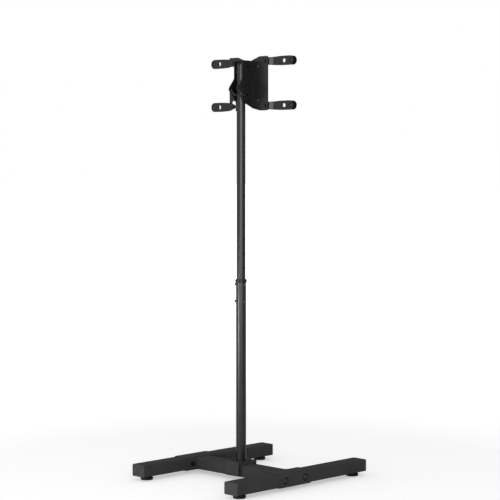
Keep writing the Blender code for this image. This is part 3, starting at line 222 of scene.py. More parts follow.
@dataclass
class NodePen:
    """Adds shader nodes to a tree and wires them."""

    tree: Tree  # node tree that is being drawn

    def add(self, kind: str, **values: object) -> bpy.types.Node:
        """Add a node and set its properties and unlinked inputs.

        Args:
            kind: Blender's name of the node type.
            **values: Node attributes, or input names with underscores for spaces.

        Returns:
            The new node.
        """
        node = self.tree.nodes.new(kind)
        for key, value in values.items():
            if hasattr(node, key):
                setattr(node, key, value)
            else:
                node.inputs[key.replace("_", " ")].default_value = value
        return node

    def link(self, source: Socket, target: Socket) -> None:
        """Wire one socket to another."""
        self.tree.links.new(source, target)

    def feed(self, target: Socket, item: object) -> None:
        """Wire a socket to an input, or set the input to a number.

        Args:
            target: The input.
            item: Socket or number.
        """
        if isinstance(item, Socket):
            self.link(item, target)
        else:
            target.default_value = float(item)

    def math(self, operation: str, first: object, second: object) -> Socket:
        """Add a math node.

        Args:
            operation: Name of the operation.
            first: Socket or number.
            second: Socket or number.

        Returns:
            The output socket.
        """
        node = self.add("ShaderNodeMath", operation=operation)
        self.feed(node.inputs[0], first)
        self.feed(node.inputs[1], second)
        return node.outputs[0]

    def noise(self, vector: Socket, scale: object, detail: float) -> Socket:
        """Add a noise texture.

        Args:
            vector: Coordinates that it reads.
            scale: Its scale, as a socket or number.
            detail: Its detail.

        Returns:
            The value socket.
        """
        node = self.add("ShaderNodeTexNoise", Detail=detail)
        self.link(vector, node.inputs["Vector"])
        self.feed(node.inputs["Scale"], scale)
        return node.outputs["Fac"]

    def spread(self, value: Socket, old: Pair, new: Sequence[object] = (0.0, 1.0)) -> Socket:
        """Map a value from one range to another, clamped.

        Args:
            value: The value.
            old: Ends of the old range.
            new: Ends of the new range, as sockets or numbers.

        Returns:
            The mapped value.
        """
        node = self.add("ShaderNodeMapRange", clamp=True)
        for name, item in zip(("Value", "From Min", "From Max", "To Min", "To Max"), (value, *old, *new)):
            self.feed(node.inputs[name], item)
        return node.outputs["Result"]

    def patches(self, place: Socket, noise: Sequence[float], new: Pair = (0.0, 1.0)) -> Socket:
        """Add a patchy noise that runs through a new range."""
        scale, detail, *old = noise
        return self.spread(self.noise(place, scale, detail), old, new)

    def stretched(self, place: Socket, scale: Point, turn: Point = (0.0, 0.0, 0.0)) -> Socket:
        """Turn and stretch coordinates.

        Args:
            place: The coordinates.
            scale: Scale along each axis.
            turn: Turn about each axis, in radians.

        Returns:
            The new coordinates.
        """
        node = self.add("ShaderNodeMapping", Rotation=turn, Scale=scale)
        self.link(place, node.inputs["Vector"])
        return node.outputs["Vector"]

    def group(self, tree: Tree, place: Socket, **values: float) -> bpy.types.NodeOutputs:
        """Place a shared group in a material.

        Args:
            tree: The group.
            place: Coordinates that it reads.
            **values: Values of its float inputs.

        Returns:
            What comes out of the group.
        """
        node = self.add("ShaderNodeGroup", node_tree=tree, **values)
        self.link(place, node.inputs["Place"])
        return node.outputs

    def blend(self, mask: Socket, below: Socket, above: Point) -> Socket:
        """Mix a colour over another by a mask.

        Args:
            mask: Where the upper colour shows.
            below: The lower colour.
            above: The upper colour.

        Returns:
            The mixed colour.
        """
        node = self.add("ShaderNodeMix", data_type="RGBA", B=(*above, 1.0))
        self.link(mask, node.inputs["Factor"])
        self.link(below, node.inputs["A"])
        return next(item for item in node.outputs if item.type == "RGBA")


class Effects:
    """Shader node groups that several finishes use."""

    def __init__(self) -> None:
        """Build the groups once."""
        self.relief = {grain: self._relief(grain) for grain in Grain}
        self.edges = self._edges()
        self.drift = self._drift()
        self.dust = self._dust()

    @staticmethod
    def _group(name: str, inputs: Iterable[str], outputs: Iterable[str]) -> tuple[
            Tree, NodePen, bpy.types.NodeOutputs, bpy.types.NodeInputs]:
        """Start a shader group with a vector input and float sockets.

        Args:
            name: Name of the group.
            inputs: Names of the float inputs.
            outputs: Names of the float outputs.

        Returns:
            The group, a pen for it, what comes into it and what goes out of it.
        """
        tree = bpy.data.node_groups.new(name, "ShaderNodeTree")
        tree.interface.new_socket(name="Place", in_out="INPUT", socket_type="NodeSocketVector")
        for way, names in (("INPUT", inputs), ("OUTPUT", outputs)):
            for item in names:
                tree.interface.new_socket(name=item, in_out=way, socket_type="NodeSocketFloat")
        pen = NodePen(tree)
        return tree, pen, pen.add("NodeGroupInput").outputs, pen.add("NodeGroupOutput").inputs

    def _relief(self, grain: Grain) -> Tree:
        """Build the fine relief of one kind of surface.

        Args:
            grain: Kind of relief.

        Returns:
            A group with a Height output between 0 and 1.
        """
        tree, pen, entry, leave = self._group("relief_" + grain.value, ("Scale",), ("Height",))
        place, scale = entry["Place"], entry["Scale"]
        share, first_detail, second_detail, relative = RELIEF[grain]
        if grain is Grain.MOULDED:
            cells = pen.add("ShaderNodeTexVoronoi", feature="SMOOTH_F1")
            pen.link(place, cells.inputs["Vector"])
            pen.link(scale, cells.inputs["Scale"])
            first = cells.outputs["Distance"]
        else:
            runs = pen.stretched(place, DRAWN_STRETCH) if grain is Grain.DRAWN else place
            first = pen.noise(runs, scale, first_detail)
        second = pen.noise(place, pen.math("MULTIPLY", scale, relative), second_detail)
        layers = pen.math("MULTIPLY", first, share), pen.math("MULTIPLY", second, 1.0 - share)
        pen.link(pen.math("ADD", *layers), leave["Height"])
        return tree

    def _edges(self) -> Tree:
        """Build the mask of worn edges from a widened normal and some noise.

        Returns:
            The group.
        """
        tree, pen, entry, leave = self._group("worn_edges", ("Width", "Amount"), ("Mask",))
        rounded = pen.add("ShaderNodeBevel", samples=EDGE_SAMPLES)
        pen.link(entry["Width"], rounded.inputs["Radius"])
        match = pen.add("ShaderNodeVectorMath", operation="DOT_PRODUCT")
        pen.link(rounded.outputs["Normal"], match.inputs[0])
        pen.link(pen.add("ShaderNodeNewGeometry").outputs["Normal"], match.inputs[1])
        edge = pen.spread(match.outputs["Value"], EDGE_MATCH)
        broken = pen.patches(entry["Place"], EDGE_BREAKS)
        mask = pen.math("MULTIPLY", pen.math("MULTIPLY", edge, broken), entry["Amount"])
        pen.link(mask, leave["Mask"])
        return tree

    def _drift(self) -> Tree:
        """Build the slow drift of roughness and shade over a surface, with a few fine scratches.

        Returns:
            The group.
        """
        tree, pen, entry, leave = self._group("drift", ("Middle", "Spread"), ("Roughness", "Shade"))
        place = entry["Place"]
        cloud = pen.patches(place, DRIFT_CLOUDS, (-1.0, 1.0))
        speck = pen.patches(place, DRIFT_SPECKS, (-HALF, HALF))
        runs = pen.stretched(place, SCRATCH_STRETCH, SCRATCH_TURN)
        scratch = pen.patches(runs, SCRATCHES, (0.0, SCRATCH_SHINE))
        both = pen.math("ADD", pen.math("ADD", cloud, speck), scratch)
        rough = pen.math("ADD", entry["Middle"], pen.math("MULTIPLY", both, entry["Spread"]))
        pen.link(rough, leave["Roughness"])
        pen.link(pen.spread(cloud, (-1.0, 1.0), SHADE_RANGE), leave["Shade"])
        return tree

    def _dust(self) -> Tree:
        """Build the mask of fine dust that lies on faces that look up.

        Returns:
            The group.
        """
        tree, pen, entry, leave = self._group("settled_dust", ("Amount",), ("Mask",))
        facing = pen.add("ShaderNodeSeparateXYZ")
        pen.link(pen.add("ShaderNodeNewGeometry").outputs["Normal"], facing.inputs[0])
        upward = pen.spread(facing.outputs["Z"], DUST_SLOPE)
        speck = pen.patches(entry["Place"], DUST_SPECKS)
        cloud = pen.patches(entry["Place"], DUST_CLOUDS)
        mask = pen.math("MULTIPLY", upward, pen.math("MULTIPLY", speck, cloud))
        pen.link(pen.math("MULTIPLY", mask, entry["Amount"]), leave["Mask"])
        return tree


@dataclass
class Palette:
    """Makes each finish's material once."""

    effects: Effects  # the shared shader groups
    made: dict[str, bpy.types.Material] = field(default_factory=dict)  # materials made so far, by finish name

    def material(self, finish: Finish) -> bpy.types.Material:
        """Return a finish's material, which the first call builds from the shared groups.

        Args:
            finish: The finish.

        Returns:
            Its material.
        """
        if finish.name in self.made:
            return self.made[finish.name]
        material = self.made[finish.name] = bpy.data.materials.new(finish.name)
        material.use_nodes = True
        pen = NodePen(material.node_tree)
        shader = material.node_tree.nodes["Principled BSDF"].inputs
        place = pen.add("ShaderNodeTexCoord").outputs["Object"]
        (middle, spread), (size, relief), (wear, width) = finish.roughness, finish.relief, finish.wear
        drift = pen.group(self.effects.drift, place, Middle=middle, Spread=spread)
        edges = pen.group(self.effects.edges, place, Width=width, Amount=wear)["Mask"]
        dust = pen.group(self.effects.dust, place, Amount=finish.dust)["Mask"]
        height = pen.group(self.effects.relief[finish.grain], place, Scale=1.0 / size)["Height"]
        shade = pen.add("ShaderNodeVectorMath", operation="SCALE", Vector=finish.hue.value)
        pen.link(drift["Shade"], shade.inputs["Scale"])
        worn = pen.blend(edges, shade.outputs["Vector"], finish.worn.value)
        pen.link(pen.blend(dust, worn, Hue.DUST.value), shader["Base Color"])
        rubbed = pen.math("MULTIPLY", edges, RUBBED_ROUGHNESS)
        dusty = pen.math("MULTIPLY", dust, DUST_ROUGHNESS)
        pen.link(pen.math("ADD", pen.math("ADD", drift["Roughness"], rubbed), dusty), shader["Roughness"])
        bump = pen.add("ShaderNodeBump", Distance=relief, Strength=1.0)
        pen.link(height, bump.inputs["Height"])
        pen.link(bump.outputs["Normal"], shader["Normal"])
        shader["Metallic"].default_value = finish.metallic
        shader["Specular IOR Level"].default_value = finish.specular
        return material


def put(name: str, data: bpy.types.ID) -> bpy.types.Object:
    """Add an object to the scene.

    Args:
        name: Name of the object.
        data: Its mesh, lamp or camera.

    Returns:
        The object.
    """
    item = bpy.data.objects.new(name, data)
    bpy.context.scene.collection.objects.link(item)
    return item


@dataclass
class Bench:
    """Makes pieces from the frame's nodes and from new meshes, and puts them on their bodies."""

    nodes: dict[str, bpy.types.Object]  # the frame's node objects by name
    owner: dict[str, str]  # name of the body that each node belongs to
    palette: Palette  # maker of the materials

    def corners(self, node: str) -> tuple[Vector, Vector]:
        """Return the lowest and highest corner of a node."""
        low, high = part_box(node)
        return Vector(low), Vector(high)

    def outer_face(self, node: str, side: str) -> float:
        """Return where a node ends towards a side."""
        low, high = self.corners(node)
        return low.x if side == "left" else high.x

    def solid(self, node: str) -> Mesh:
        """Copy a node's mesh with its loose triangles merged and its flat faces joined.

        Args:
            node: Name of the node.

        Returns:
            The clean mesh.
        """
        mesh = bmesh.new()
        mesh.from_mesh(self.nodes[node].data)
        bmesh.ops.remove_doubles(mesh, verts=mesh.verts, dist=MERGE_DISTANCE)
        bmesh.ops.dissolve_limit(mesh, angle_limit=FLAT_ANGLE, verts=mesh.verts, edges=mesh.edges,
                                 use_dissolve_boundaries=False, delimit=set())
        return mesh

    def soften(self, mesh: Mesh, width: float, segments: int = 2,
               choose: Callable[[bmesh.types.BMEdge], bool] | None = None) -> None:
        """Round the sharp edges of a mesh.

        Args:
            mesh: The mesh.
            width: Width of the rounding.
            segments: Segments of the rounding.
            choose: Test that picks edges, or None for every sharp edge.
        """
        edges = [edge for edge in mesh.edges
                 if edge.is_manifold and edge.calc_face_angle(0.0) > EDGE_ANGLE
                 and (choose is None or choose(edge))]
        if edges:
            bmesh.ops.bevel(mesh, geom=edges, offset=width, offset_type="OFFSET", segments=segments,
                            profile=HALF, affect="EDGES", clamp_overlap=True, material=-1,
                            loop_slide=True)

    def place(self, name: str, mesh: Mesh, finish: Finish, body: str,
              replaces: Sequence[str] = ()) -> bpy.types.Object:
        """Turn a mesh into a finished piece on a body.

        Args:
            name: Name of the piece.
            mesh: Its mesh, in the frame's coordinates.
            finish: Its finish.
            body: Body that it rides on.
            replaces: Nodes that it stands for.

        Returns:
            The piece.
        """
        data = bpy.data.meshes.new(name)
        mesh.to_mesh(data)
        mesh.free()
        data.materials.append(self.palette.material(finish))
        data.shade_smooth()
        data.set_sharp_from_angle(angle=SMOOTH_ANGLE)
        piece = put(name, data)
        piece.modifiers.new("even_shading", "WEIGHTED_NORMAL").keep_sharp = True
        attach(piece, body)
        if replaces:
            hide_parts(*replaces)
        LOG.info("%s: %d faces on %s", name, len(data.polygons), body)
        return piece

    def dress(self, node: str, finish: Finish, width: float, segments: int = 2) -> bpy.types.Object:
        """Replace a node by a rounded copy of itself in a finish.

        Args:
            node: Name of the node.
            finish: Its finish.
            width: Width of its edge rounding.
            segments: Segments of the rounding.

        Returns:
            The piece.
        """
        mesh = self.solid(node)
        self.soften(mesh, width, segments)
        return self.place(node + "_finished", mesh, finish, self.owner[node], (node,))

    def socketed(self, node: str, outward: Vector, socket: Pair, finish: Finish) -> None:
        """Build a domed screw or bolt with a hexagonal socket cut in its head.

        Args:
            node: Name of the screw's node.
            outward: Way that its head looks.
            socket: Width of the socket over its flats, and its depth.
            finish: Its finish.
        """
        across, depth = socket
        mesh = self.solid(node)
        self.soften(mesh, SCREW_EDGE)
        low, high = self.corners(node)
        top = (low + high) * HALF + outward * abs((high - low).dot(outward)) * HALF
        radius = across * HALF / cos(pi / HEXAGON)
        cutter = hexagon(radius, top - outward * depth, outward, depth * 2.0)
        self.place(node + "_finished", self.carve(mesh, cutter), finish, self.owner[node], (node,))

    @staticmethod
    def carve(mesh: Mesh, cutter: Mesh) -> Mesh:
        """Cut one mesh with another and return the result.

        Args:
            mesh: The mesh to cut; it is freed.
            cutter: The cutting mesh; it is freed.

        Returns:
            The cut mesh.
        """
        pair = []
        for part in (mesh, cutter):
            bmesh.ops.recalc_face_normals(part, faces=part.faces)
            data = bpy.data.meshes.new("carving")
            part.to_mesh(data)
            part.free()
            pair.append(put("carving", data))
        step = pair[0].modifiers.new("cut", "BOOLEAN")
        step.operation = "DIFFERENCE"
        step.solver = "EXACT"
        step.object = pair[1]
        graph = bpy.context.evaluated_depsgraph_get()
        result = bmesh.new()
        result.from_mesh(pair[0].evaluated_get(graph).to_mesh())
        for item in pair:
            data = item.data
            bpy.data.objects.remove(item, do_unlink=True)
            bpy.data.meshes.remove(data)
        return result


def stood(base: Vector, direction: Vector) -> Matrix:
    """Return the matrix that moves the origin to base and turns +Z to direction."""
    return Matrix.Translation(base) @ UP.rotation_difference(direction).to_matrix().to_4x4()


def turned(profile: Profile, base: Vector, direction: Vector, steps: int = ROUND_STEPS,
           closed: bool = False) -> Mesh:
    """Spin a profile into a round solid.

    Args:
        profile: (radius, height) points.
        base: Where height is zero on the axis.
        direction: Direction of the axis.
        steps: Segments of the full turn.
        closed: True for a ring, whose profile closes on itself.

    Returns:
        The round mesh.
    """
    mesh = bmesh.new()
    verts = [mesh.verts.new((radius, 0.0, height)) for radius, height in profile]
    edges = [mesh.edges.new(pair) for pair in zip(verts, verts[1:])]
    if closed:
        edges.append(mesh.edges.new((verts[-1], verts[0])))
    bmesh.ops.spin(mesh, geom=verts + edges, cent=(0.0, 0.0, 0.0), axis=UP, angle=FULL_TURN, steps=steps,
                   use_merge=True)
    bmesh.ops.remove_doubles(mesh, verts=mesh.verts, dist=MERGE_DISTANCE)
    bmesh.ops.recalc_face_normals(mesh, faces=mesh.faces)
    bmesh.ops.transform(mesh, matrix=stood(base, direction), verts=mesh.verts)
    return mesh


def hexagon(radius: float, base: Vector, direction: Vector, length: float) -> Mesh:
    """Make a six-sided prism.

    Args:
        radius: Radius over its corners.
        base: Middle of its first face.
        direction: Way that it runs from there.
        length: Its length.

    Returns:
        The prism.
    """
    mesh = bmesh.new()
    middle = base + direction.normalized() * length * HALF
    bmesh.ops.create_cone(mesh, cap_ends=True, segments=HEXAGON, radius1=radius, radius2=radius, depth=length,
                          matrix=stood(middle, direction))
    return mesh


def arc(middle: float, height: float, radius: float, start: float, stop: float, steps: int) -> list[Pair]:
    """Return the points of an arc in a profile.

    Args:
        middle: Distance of its centre from the axis.
        height: Height of its centre.
        radius: Its radius.
        start: First angle, in degrees.
        stop: Last angle, in degrees.
        steps: Number of segments.

    Returns:
        (radius, height) points.
    """
    turns = (radians(start + (stop - start) * step / steps) for step in range(steps + 1))
    return [(middle + radius * cos(turn), height + radius * sin(turn)) for turn in turns]


@dataclass
class Base:
    """The H-shaped base: crossbar, sleeves, leg tubes, caps, bolts, saddle and feet."""

    bench: Bench  # maker of the pieces
    tube_edge: float = 0.7 * MM  # rounding of the tubes' cut edges
    saddle_edge: float = 0.8 * MM  # rounding of the saddle's edges
    saddle_screws: int = 4  # number of screws in the saddle
    weld_radius: float = 2.3 * MM  # half the width of a weld bead
    weld_pitch: float = 2.1 * MM  # ripple distance of a weld bead
    weld_corner: float = 3.0 * MM  # how much of the tube's corners a weld cuts off
    bolt_socket: Pair = (5.0 * MM, 2.4 * MM)  # width over the flats and depth of a sleeve bolt's socket
    # border round the bolt's head, thickness and rounding of a washer, whose near-black ring is partly
    # painted shadow round the head
    washer_and_shade: Point = (2.3 * MM, 0.8 * MM, 0.3 * MM)
    cap_edge: float = 0.9 * MM  # rounding of a cap's edges
    cap_border: float = 3.2 * MM  # width of the rim round a cap's panel
    cap_sink: float = 0.7 * MM  # depth of a cap's panel
    # corners of the hollow under a foot: share of the radius, height
    hollow: Profile = ((0.0, 0.25 * MM), (0.62, 0.25 * MM), (0.66, 0.0))
    toe: float = 1.4 * MM  # rounding of a foot's lower rim
    # corners of its grip groove: depth, share of the pad's height
    groove: Profile = ((0.0, 0.36), (0.6 * MM, 0.40), (0.6 * MM, 0.46), (0.0, 0.50))
    # rounding of its upper rim, and how far the middle of it lies below the pad's top
    shoulder: Pair = (1.8 * MM, 2.7 * MM)
    # corners of the slope on the pad's top: share of the radius, depth
    crown: Profile = ((0.72, 0.3 * MM), (0.66, 0.0))
    thread_pitch: float = 1.5 * MM  # pitch of a foot's thread
    thread: Profile = ((0.5 * MM, 0.15), (0.0, 0.6))  # corners of one turn of it: depth, share of the pitch
    stud_radius: float = 5.0 * MM  # radius of a foot's stud
    stud_tip: float = 1.0 * MM  # width of the slope at the stud's tip

    def build(self) -> None:
        """Build every piece of the base."""
        self.bench.dress("crossbar", POWDER, self.tube_edge)
        self.bench.dress("saddle", POWDER, self.saddle_edge, 3)
        for number in range(1, self.saddle_screws + 1):
            self.bench.dress("saddle_screw_%d" % number, BLACKED, SCREW_EDGE)
        self.bench.dress("pole_grub_screw", STEEL, SMALL_EDGE)
        for side in SIDES:
            self.bench.dress("sleeve_" + side, POWDER, self.tube_edge, 3)
            self.weld(side)
            for end in ENDS:
                place = "_".join((end, side))
                self.bench.dress("leg_" + place, POWDER, self.tube_edge)
                self.cap(place)
                self.bolt(place, side)
                self.foot(place)

    def weld(self, side: str) -> None:
        """Lay the rippled weld between the crossbar and one sleeve.

        Args:
            side: Side of the sleeve.
        """
        low, high = self.bench.corners("crossbar")
        end = self.bench.outer_face("crossbar", side)
        cut = self.weld_corner
        corners = ((low.y + cut, low.z), (high.y - cut, low.z), (high.y, low.z + cut), (high.y, high.z - cut),
                   (high.y - cut, high.z), (low.y + cut, high.z), (low.y, high.z - cut), (low.y, low.z + cut))
        path = [Vector((end, across, height)) for across, height in corners]
        mesh = bmesh.new()
        for index, (start, stop) in enumerate(zip(path, path[1:] + path[:1])):
            run = stop - start
            count = max(1, round(run.length / self.weld_pitch))
            turn = Vector((1.0, 0.0, 0.0)).rotation_difference(run.normalized()).to_matrix().to_4x4()
            for step in range(count):
                swell = 1.0 + SWELL * sin(step * SWELL_RATE + index) + RIPPLE * sin(step * RIPPLE_RATE)
                scale = Matrix.Diagonal((RIPPLE_LENGTH, swell, swell, 1.0))
                matrix = Matrix.Translation(start + run * (step / count)) @ turn @ scale
                bmesh.ops.create_icosphere(mesh, subdivisions=2, radius=self.weld_radius, matrix=matrix)
        self.bench.place("sleeve_weld_" + side, mesh, POWDER, "base")

    def cap(self, place: str) -> None:
        """Build a leg's end cap with a slightly sunken panel.

        Args:
            place: End and side of the leg.
        """
        node = "cap_" + place
        mesh = self.bench.solid(node)
        self.bench.soften(mesh, self.cap_edge, 3)
        low, high = self.bench.corners(node)
        tip = low.y if place.startswith("front") else high.y
        outer = [face for face in mesh.faces if abs(face.calc_center_median().y - tip) < PLANE_TOLERANCE]
        panel = max(outer, key=lambda face: face.calc_area())
        bmesh.ops.inset_individual(mesh, faces=[panel], thickness=self.cap_border, depth=0.0,
                                   use_even_offset=True)
        bmesh.ops.inset_individual(mesh, faces=[panel], thickness=self.cap_sink, depth=-self.cap_sink)
        self.bench.place(node + "_finished", mesh, CAP, "base", (node,))

    def bolt(self, place: str, side: str) -> None:
        """Build a sleeve bolt with a socket in its dome, and its near-black washer, which also paints the
        shadow round the head.

        Args:
            place: End and side of the sleeve's hole.
            side: Side of the sleeve.
        """
        node = "sleeve_bolt_" + place
        self.bench.socketed(node, OUTWARD[side], self.bolt_socket, BOLT)
        low, high = self.bench.corners(node)
        border, top, edge = self.washer_and_shade
        inner, outer = ((high.z - low.z) * HALF + way * border for way in (-1.0, 1.0))
        ring = [(inner, 0.0), (outer, 0.0), *arc(outer - edge, top - edge, edge, 0.0, 90.0, 3), (inner, top)]
        face = self.bench.outer_face("sleeve_" + side, side)
        centre = Vector((face, (low.y + high.y) * HALF, (low.z + high.z) * HALF))
        washer_and_shade = turned(ring, centre, OUTWARD[side], closed=True)
        # The near-black rubber ring is partly a real washer and partly painted shadow round the bolt's head.
        self.bench.place("bolt_washer_and_shade_" + place, washer_and_shade, RUBBER, "base")

    def foot(self, place: str) -> None:
        """Build a levelling foot with a grooved rim and a cut thread, and its jam nut.

        Args:
            place: End and side of the leg.
        """
        self.bench.dress("jam_nut_" + place, BLACKED, PART_EDGE)
        node = "foot_" + place
        low, high = self.bench.corners(node)
        centre = (low + high) * HALF
        radius = (high.x - low.x) * HALF
        tall = high.z - low.z
        under = self.bench.corners("jam_nut_" + place)[0].z - low.z - NUT_SPACE
        shoulder, drop = self.shoulder
        profile = [(radius * share, height) for share, height in self.hollow]
        profile += arc(radius - self.toe, self.toe, self.toe, -90.0, 0.0, 5)
        profile += [(radius - depth, under * share) for depth, share in self.groove]
        profile += arc(radius - shoulder, under - drop, shoulder, 0.0, 70.0, 5)
        profile += [(radius * share, under - depth) for share, depth in self.crown]
        profile += [(self.stud_radius, under)]
        for turn in range(int((tall - under) / self.thread_pitch)):
            start = under + turn * self.thread_pitch
            profile += [(self.stud_radius - depth, start + share * self.thread_pitch)
                        for depth, share in self.thread]
        profile += [(self.stud_radius - self.stud_tip, tall), (0.0, tall)]
        mesh = turned(profile, Vector((centre.x, centre.y, low.z)), UP)
        self.bench.place(node + "_finished", mesh, PLASTIC, self.bench.owner[node], (node,))


@dataclass
class Pole:
    """The telescopic pole: both tubes, collar, plug, cap and lock screws."""

    bench: Bench  # maker of the pieces
    lower_radius: float = 17.5 * MM  # outer radius of the lower tube
    lower_edge: float = 0.35 * MM  # rounding of its edges
    upper_radius: float = 15.0 * MM  # outer radius of the upper tube
    # Past this depth the painted shade of the tube's inside starts.
    coated_depth: float = 0.5 * MM  # how far the coat reaches into the holes and ends
    lock_socket: Pair = (3.0 * MM, 2.5 * MM)  # width over the flats and depth of a lock screw's socket
    collar_bore: float = 15.3 * MM  # radius of the collar's bore round the upper tube
    collar_skirt: float = 17.8 * MM  # radius of its bore round the lower tube
    collar_gap: float = 0.3 * MM  # space between the lower tube's end and the collar's step
    # rounding of its lower rim, its upper rim and its bore
    collar_rounds: Point = (0.8 * MM, 1.3 * MM, 0.6 * MM)
    collar_steps: int = 80  # segments of its full turn
    middle: float = 0.45  # height of the ribs' and screws' middle, as a share of the collar's height
    rib_count: int = 40  # number of grip ribs round the collar
    rib_radius: float = 0.55 * MM  # half the width of a rib
    rib_stretch: float = 5.2  # height of a rib over its width
    grub_angles: Pair = (117.0, 153.0)  # where the two grub screws sit round the collar, in degrees from +X
    grub_sink: float = 2.2 * MM  # how far a grub screw's inner end lies below the ribs
    # corners of a grub screw: radius, height
    grub: Profile = (
        (0.0, 0.0), (1.9 * MM, 0.0), (1.9 * MM, 2.6 * MM), (1.6 * MM, 2.9 * MM), (0.0, 2.9 * MM))
    grub_steps: int = 24  # segments of its full turn
    # radius, start and length of the cutter of its socket
    grub_socket: Point = (1.235 * MM, 1.4 * MM, 3.0 * MM)

    def build(self) -> None:
        """Build every piece of the pole."""
        self.tube("lower_pole", TUBE, self.lower_edge, self.lower_radius)
        self.tube("upper_pole", SLIDING, PART_EDGE, self.upper_radius)
        self.bench.dress("guide_plug", PLASTIC, PART_EDGE)
        self.bench.dress("pole_cap", PLASTIC, PART_EDGE)
        self.collar()
        for level in LEVELS:
            self.bench.dress("lock_screw_right_" + level, STEEL, PART_EDGE)
            self.bench.socketed("lock_screw_left_" + level, OUTWARD["left"], self.lock_socket, STEEL)

    def tube(self, node: str, finish: Finish, edge: float, radius: float) -> None:
        """Build a tube whose inner wall and holes are painted near-black, which is painted shade in the
        tube's hollow.

        Args:
            node: Name of the tube's node.
            finish: Finish of its outside.
            edge: Rounding of its edges.
            radius: Its outer radius.
        """
        piece = self.bench.dress(node, finish, edge)
        low, high = self.bench.corners("collar")
        axis = ((low + high) * HALF).xy
        low, high = self.bench.corners(node)
        # The inner faces take the near-black inside finish: painted shade inside the tube.
        piece.data.materials.append(self.bench.palette.material(SHADED_INSIDE))
        for face in piece.data.polygons:
            inside = (face.center.xy - axis).length < radius - self.coated_depth
            if inside and low.z + self.coated_depth < face.center.z < high.z - self.coated_depth:
                face.material_index = 1

    def collar(self) -> None:
        """Build the collar with a soft rim, fine grip ribs and two near-black grub screws, whose dark is
        painted shade in their holes.
        """
        low, high = self.bench.corners("collar")
        centre = (low + high) * HALF
        foot = Vector((centre.x, centre.y, low.z))
        radius = (high.x - low.x) * HALF - self.rib_radius * HALF
        height = high.z - low.z
        step = self.bench.corners("lower_pole")[1].z - low.z + self.collar_gap
        rim, crown, lip = self.collar_rounds
        profile = [(self.collar_skirt, 0.0)]
        profile += arc(radius - rim, rim, rim, -90.0, 0.0, 5)
        profile += arc(radius - crown, height - crown, crown, 0.0, 90.0, 6)
        profile += arc(self.collar_bore + lip, height - lip, lip, 90.0, 180.0, 4)
        profile += [(self.collar_bore, step), (self.collar_skirt, step)]
        mesh = turned(profile, foot, UP, self.collar_steps, closed=True)
        middle = foot + UP * height * self.middle
        for index in range(self.rib_count):
            turn = FULL_TURN * index / self.rib_count
            place = middle + Vector((cos(turn), sin(turn), 0.0)) * radius
            matrix = Matrix.Translation(place) @ Matrix.Diagonal((1.0, 1.0, self.rib_stretch, 1.0))
            bmesh.ops.create_icosphere(mesh, subdivisions=2, radius=self.rib_radius, matrix=matrix)
        self.bench.place("collar_finished", mesh, COLLAR, "base", ("collar",))
        size, deep, long = self.grub_socket
        for number, angle in enumerate(self.grub_angles, 1):
            way = Vector((cos(radians(angle)), sin(radians(angle)), 0.0))
            start = middle + way * (radius - self.grub_sink)
            screw = turned(self.grub, start, way, self.grub_steps)
            mesh = self.bench.carve(screw, hexagon(size, start + way * deep, way, long))
            # The grub screws take the near-black rubber finish: painted shade in the screw holes, darker than
            # a steel screw.
            self.bench.place("collar_grub_screw_%d" % number, mesh, RUBBER, "base")


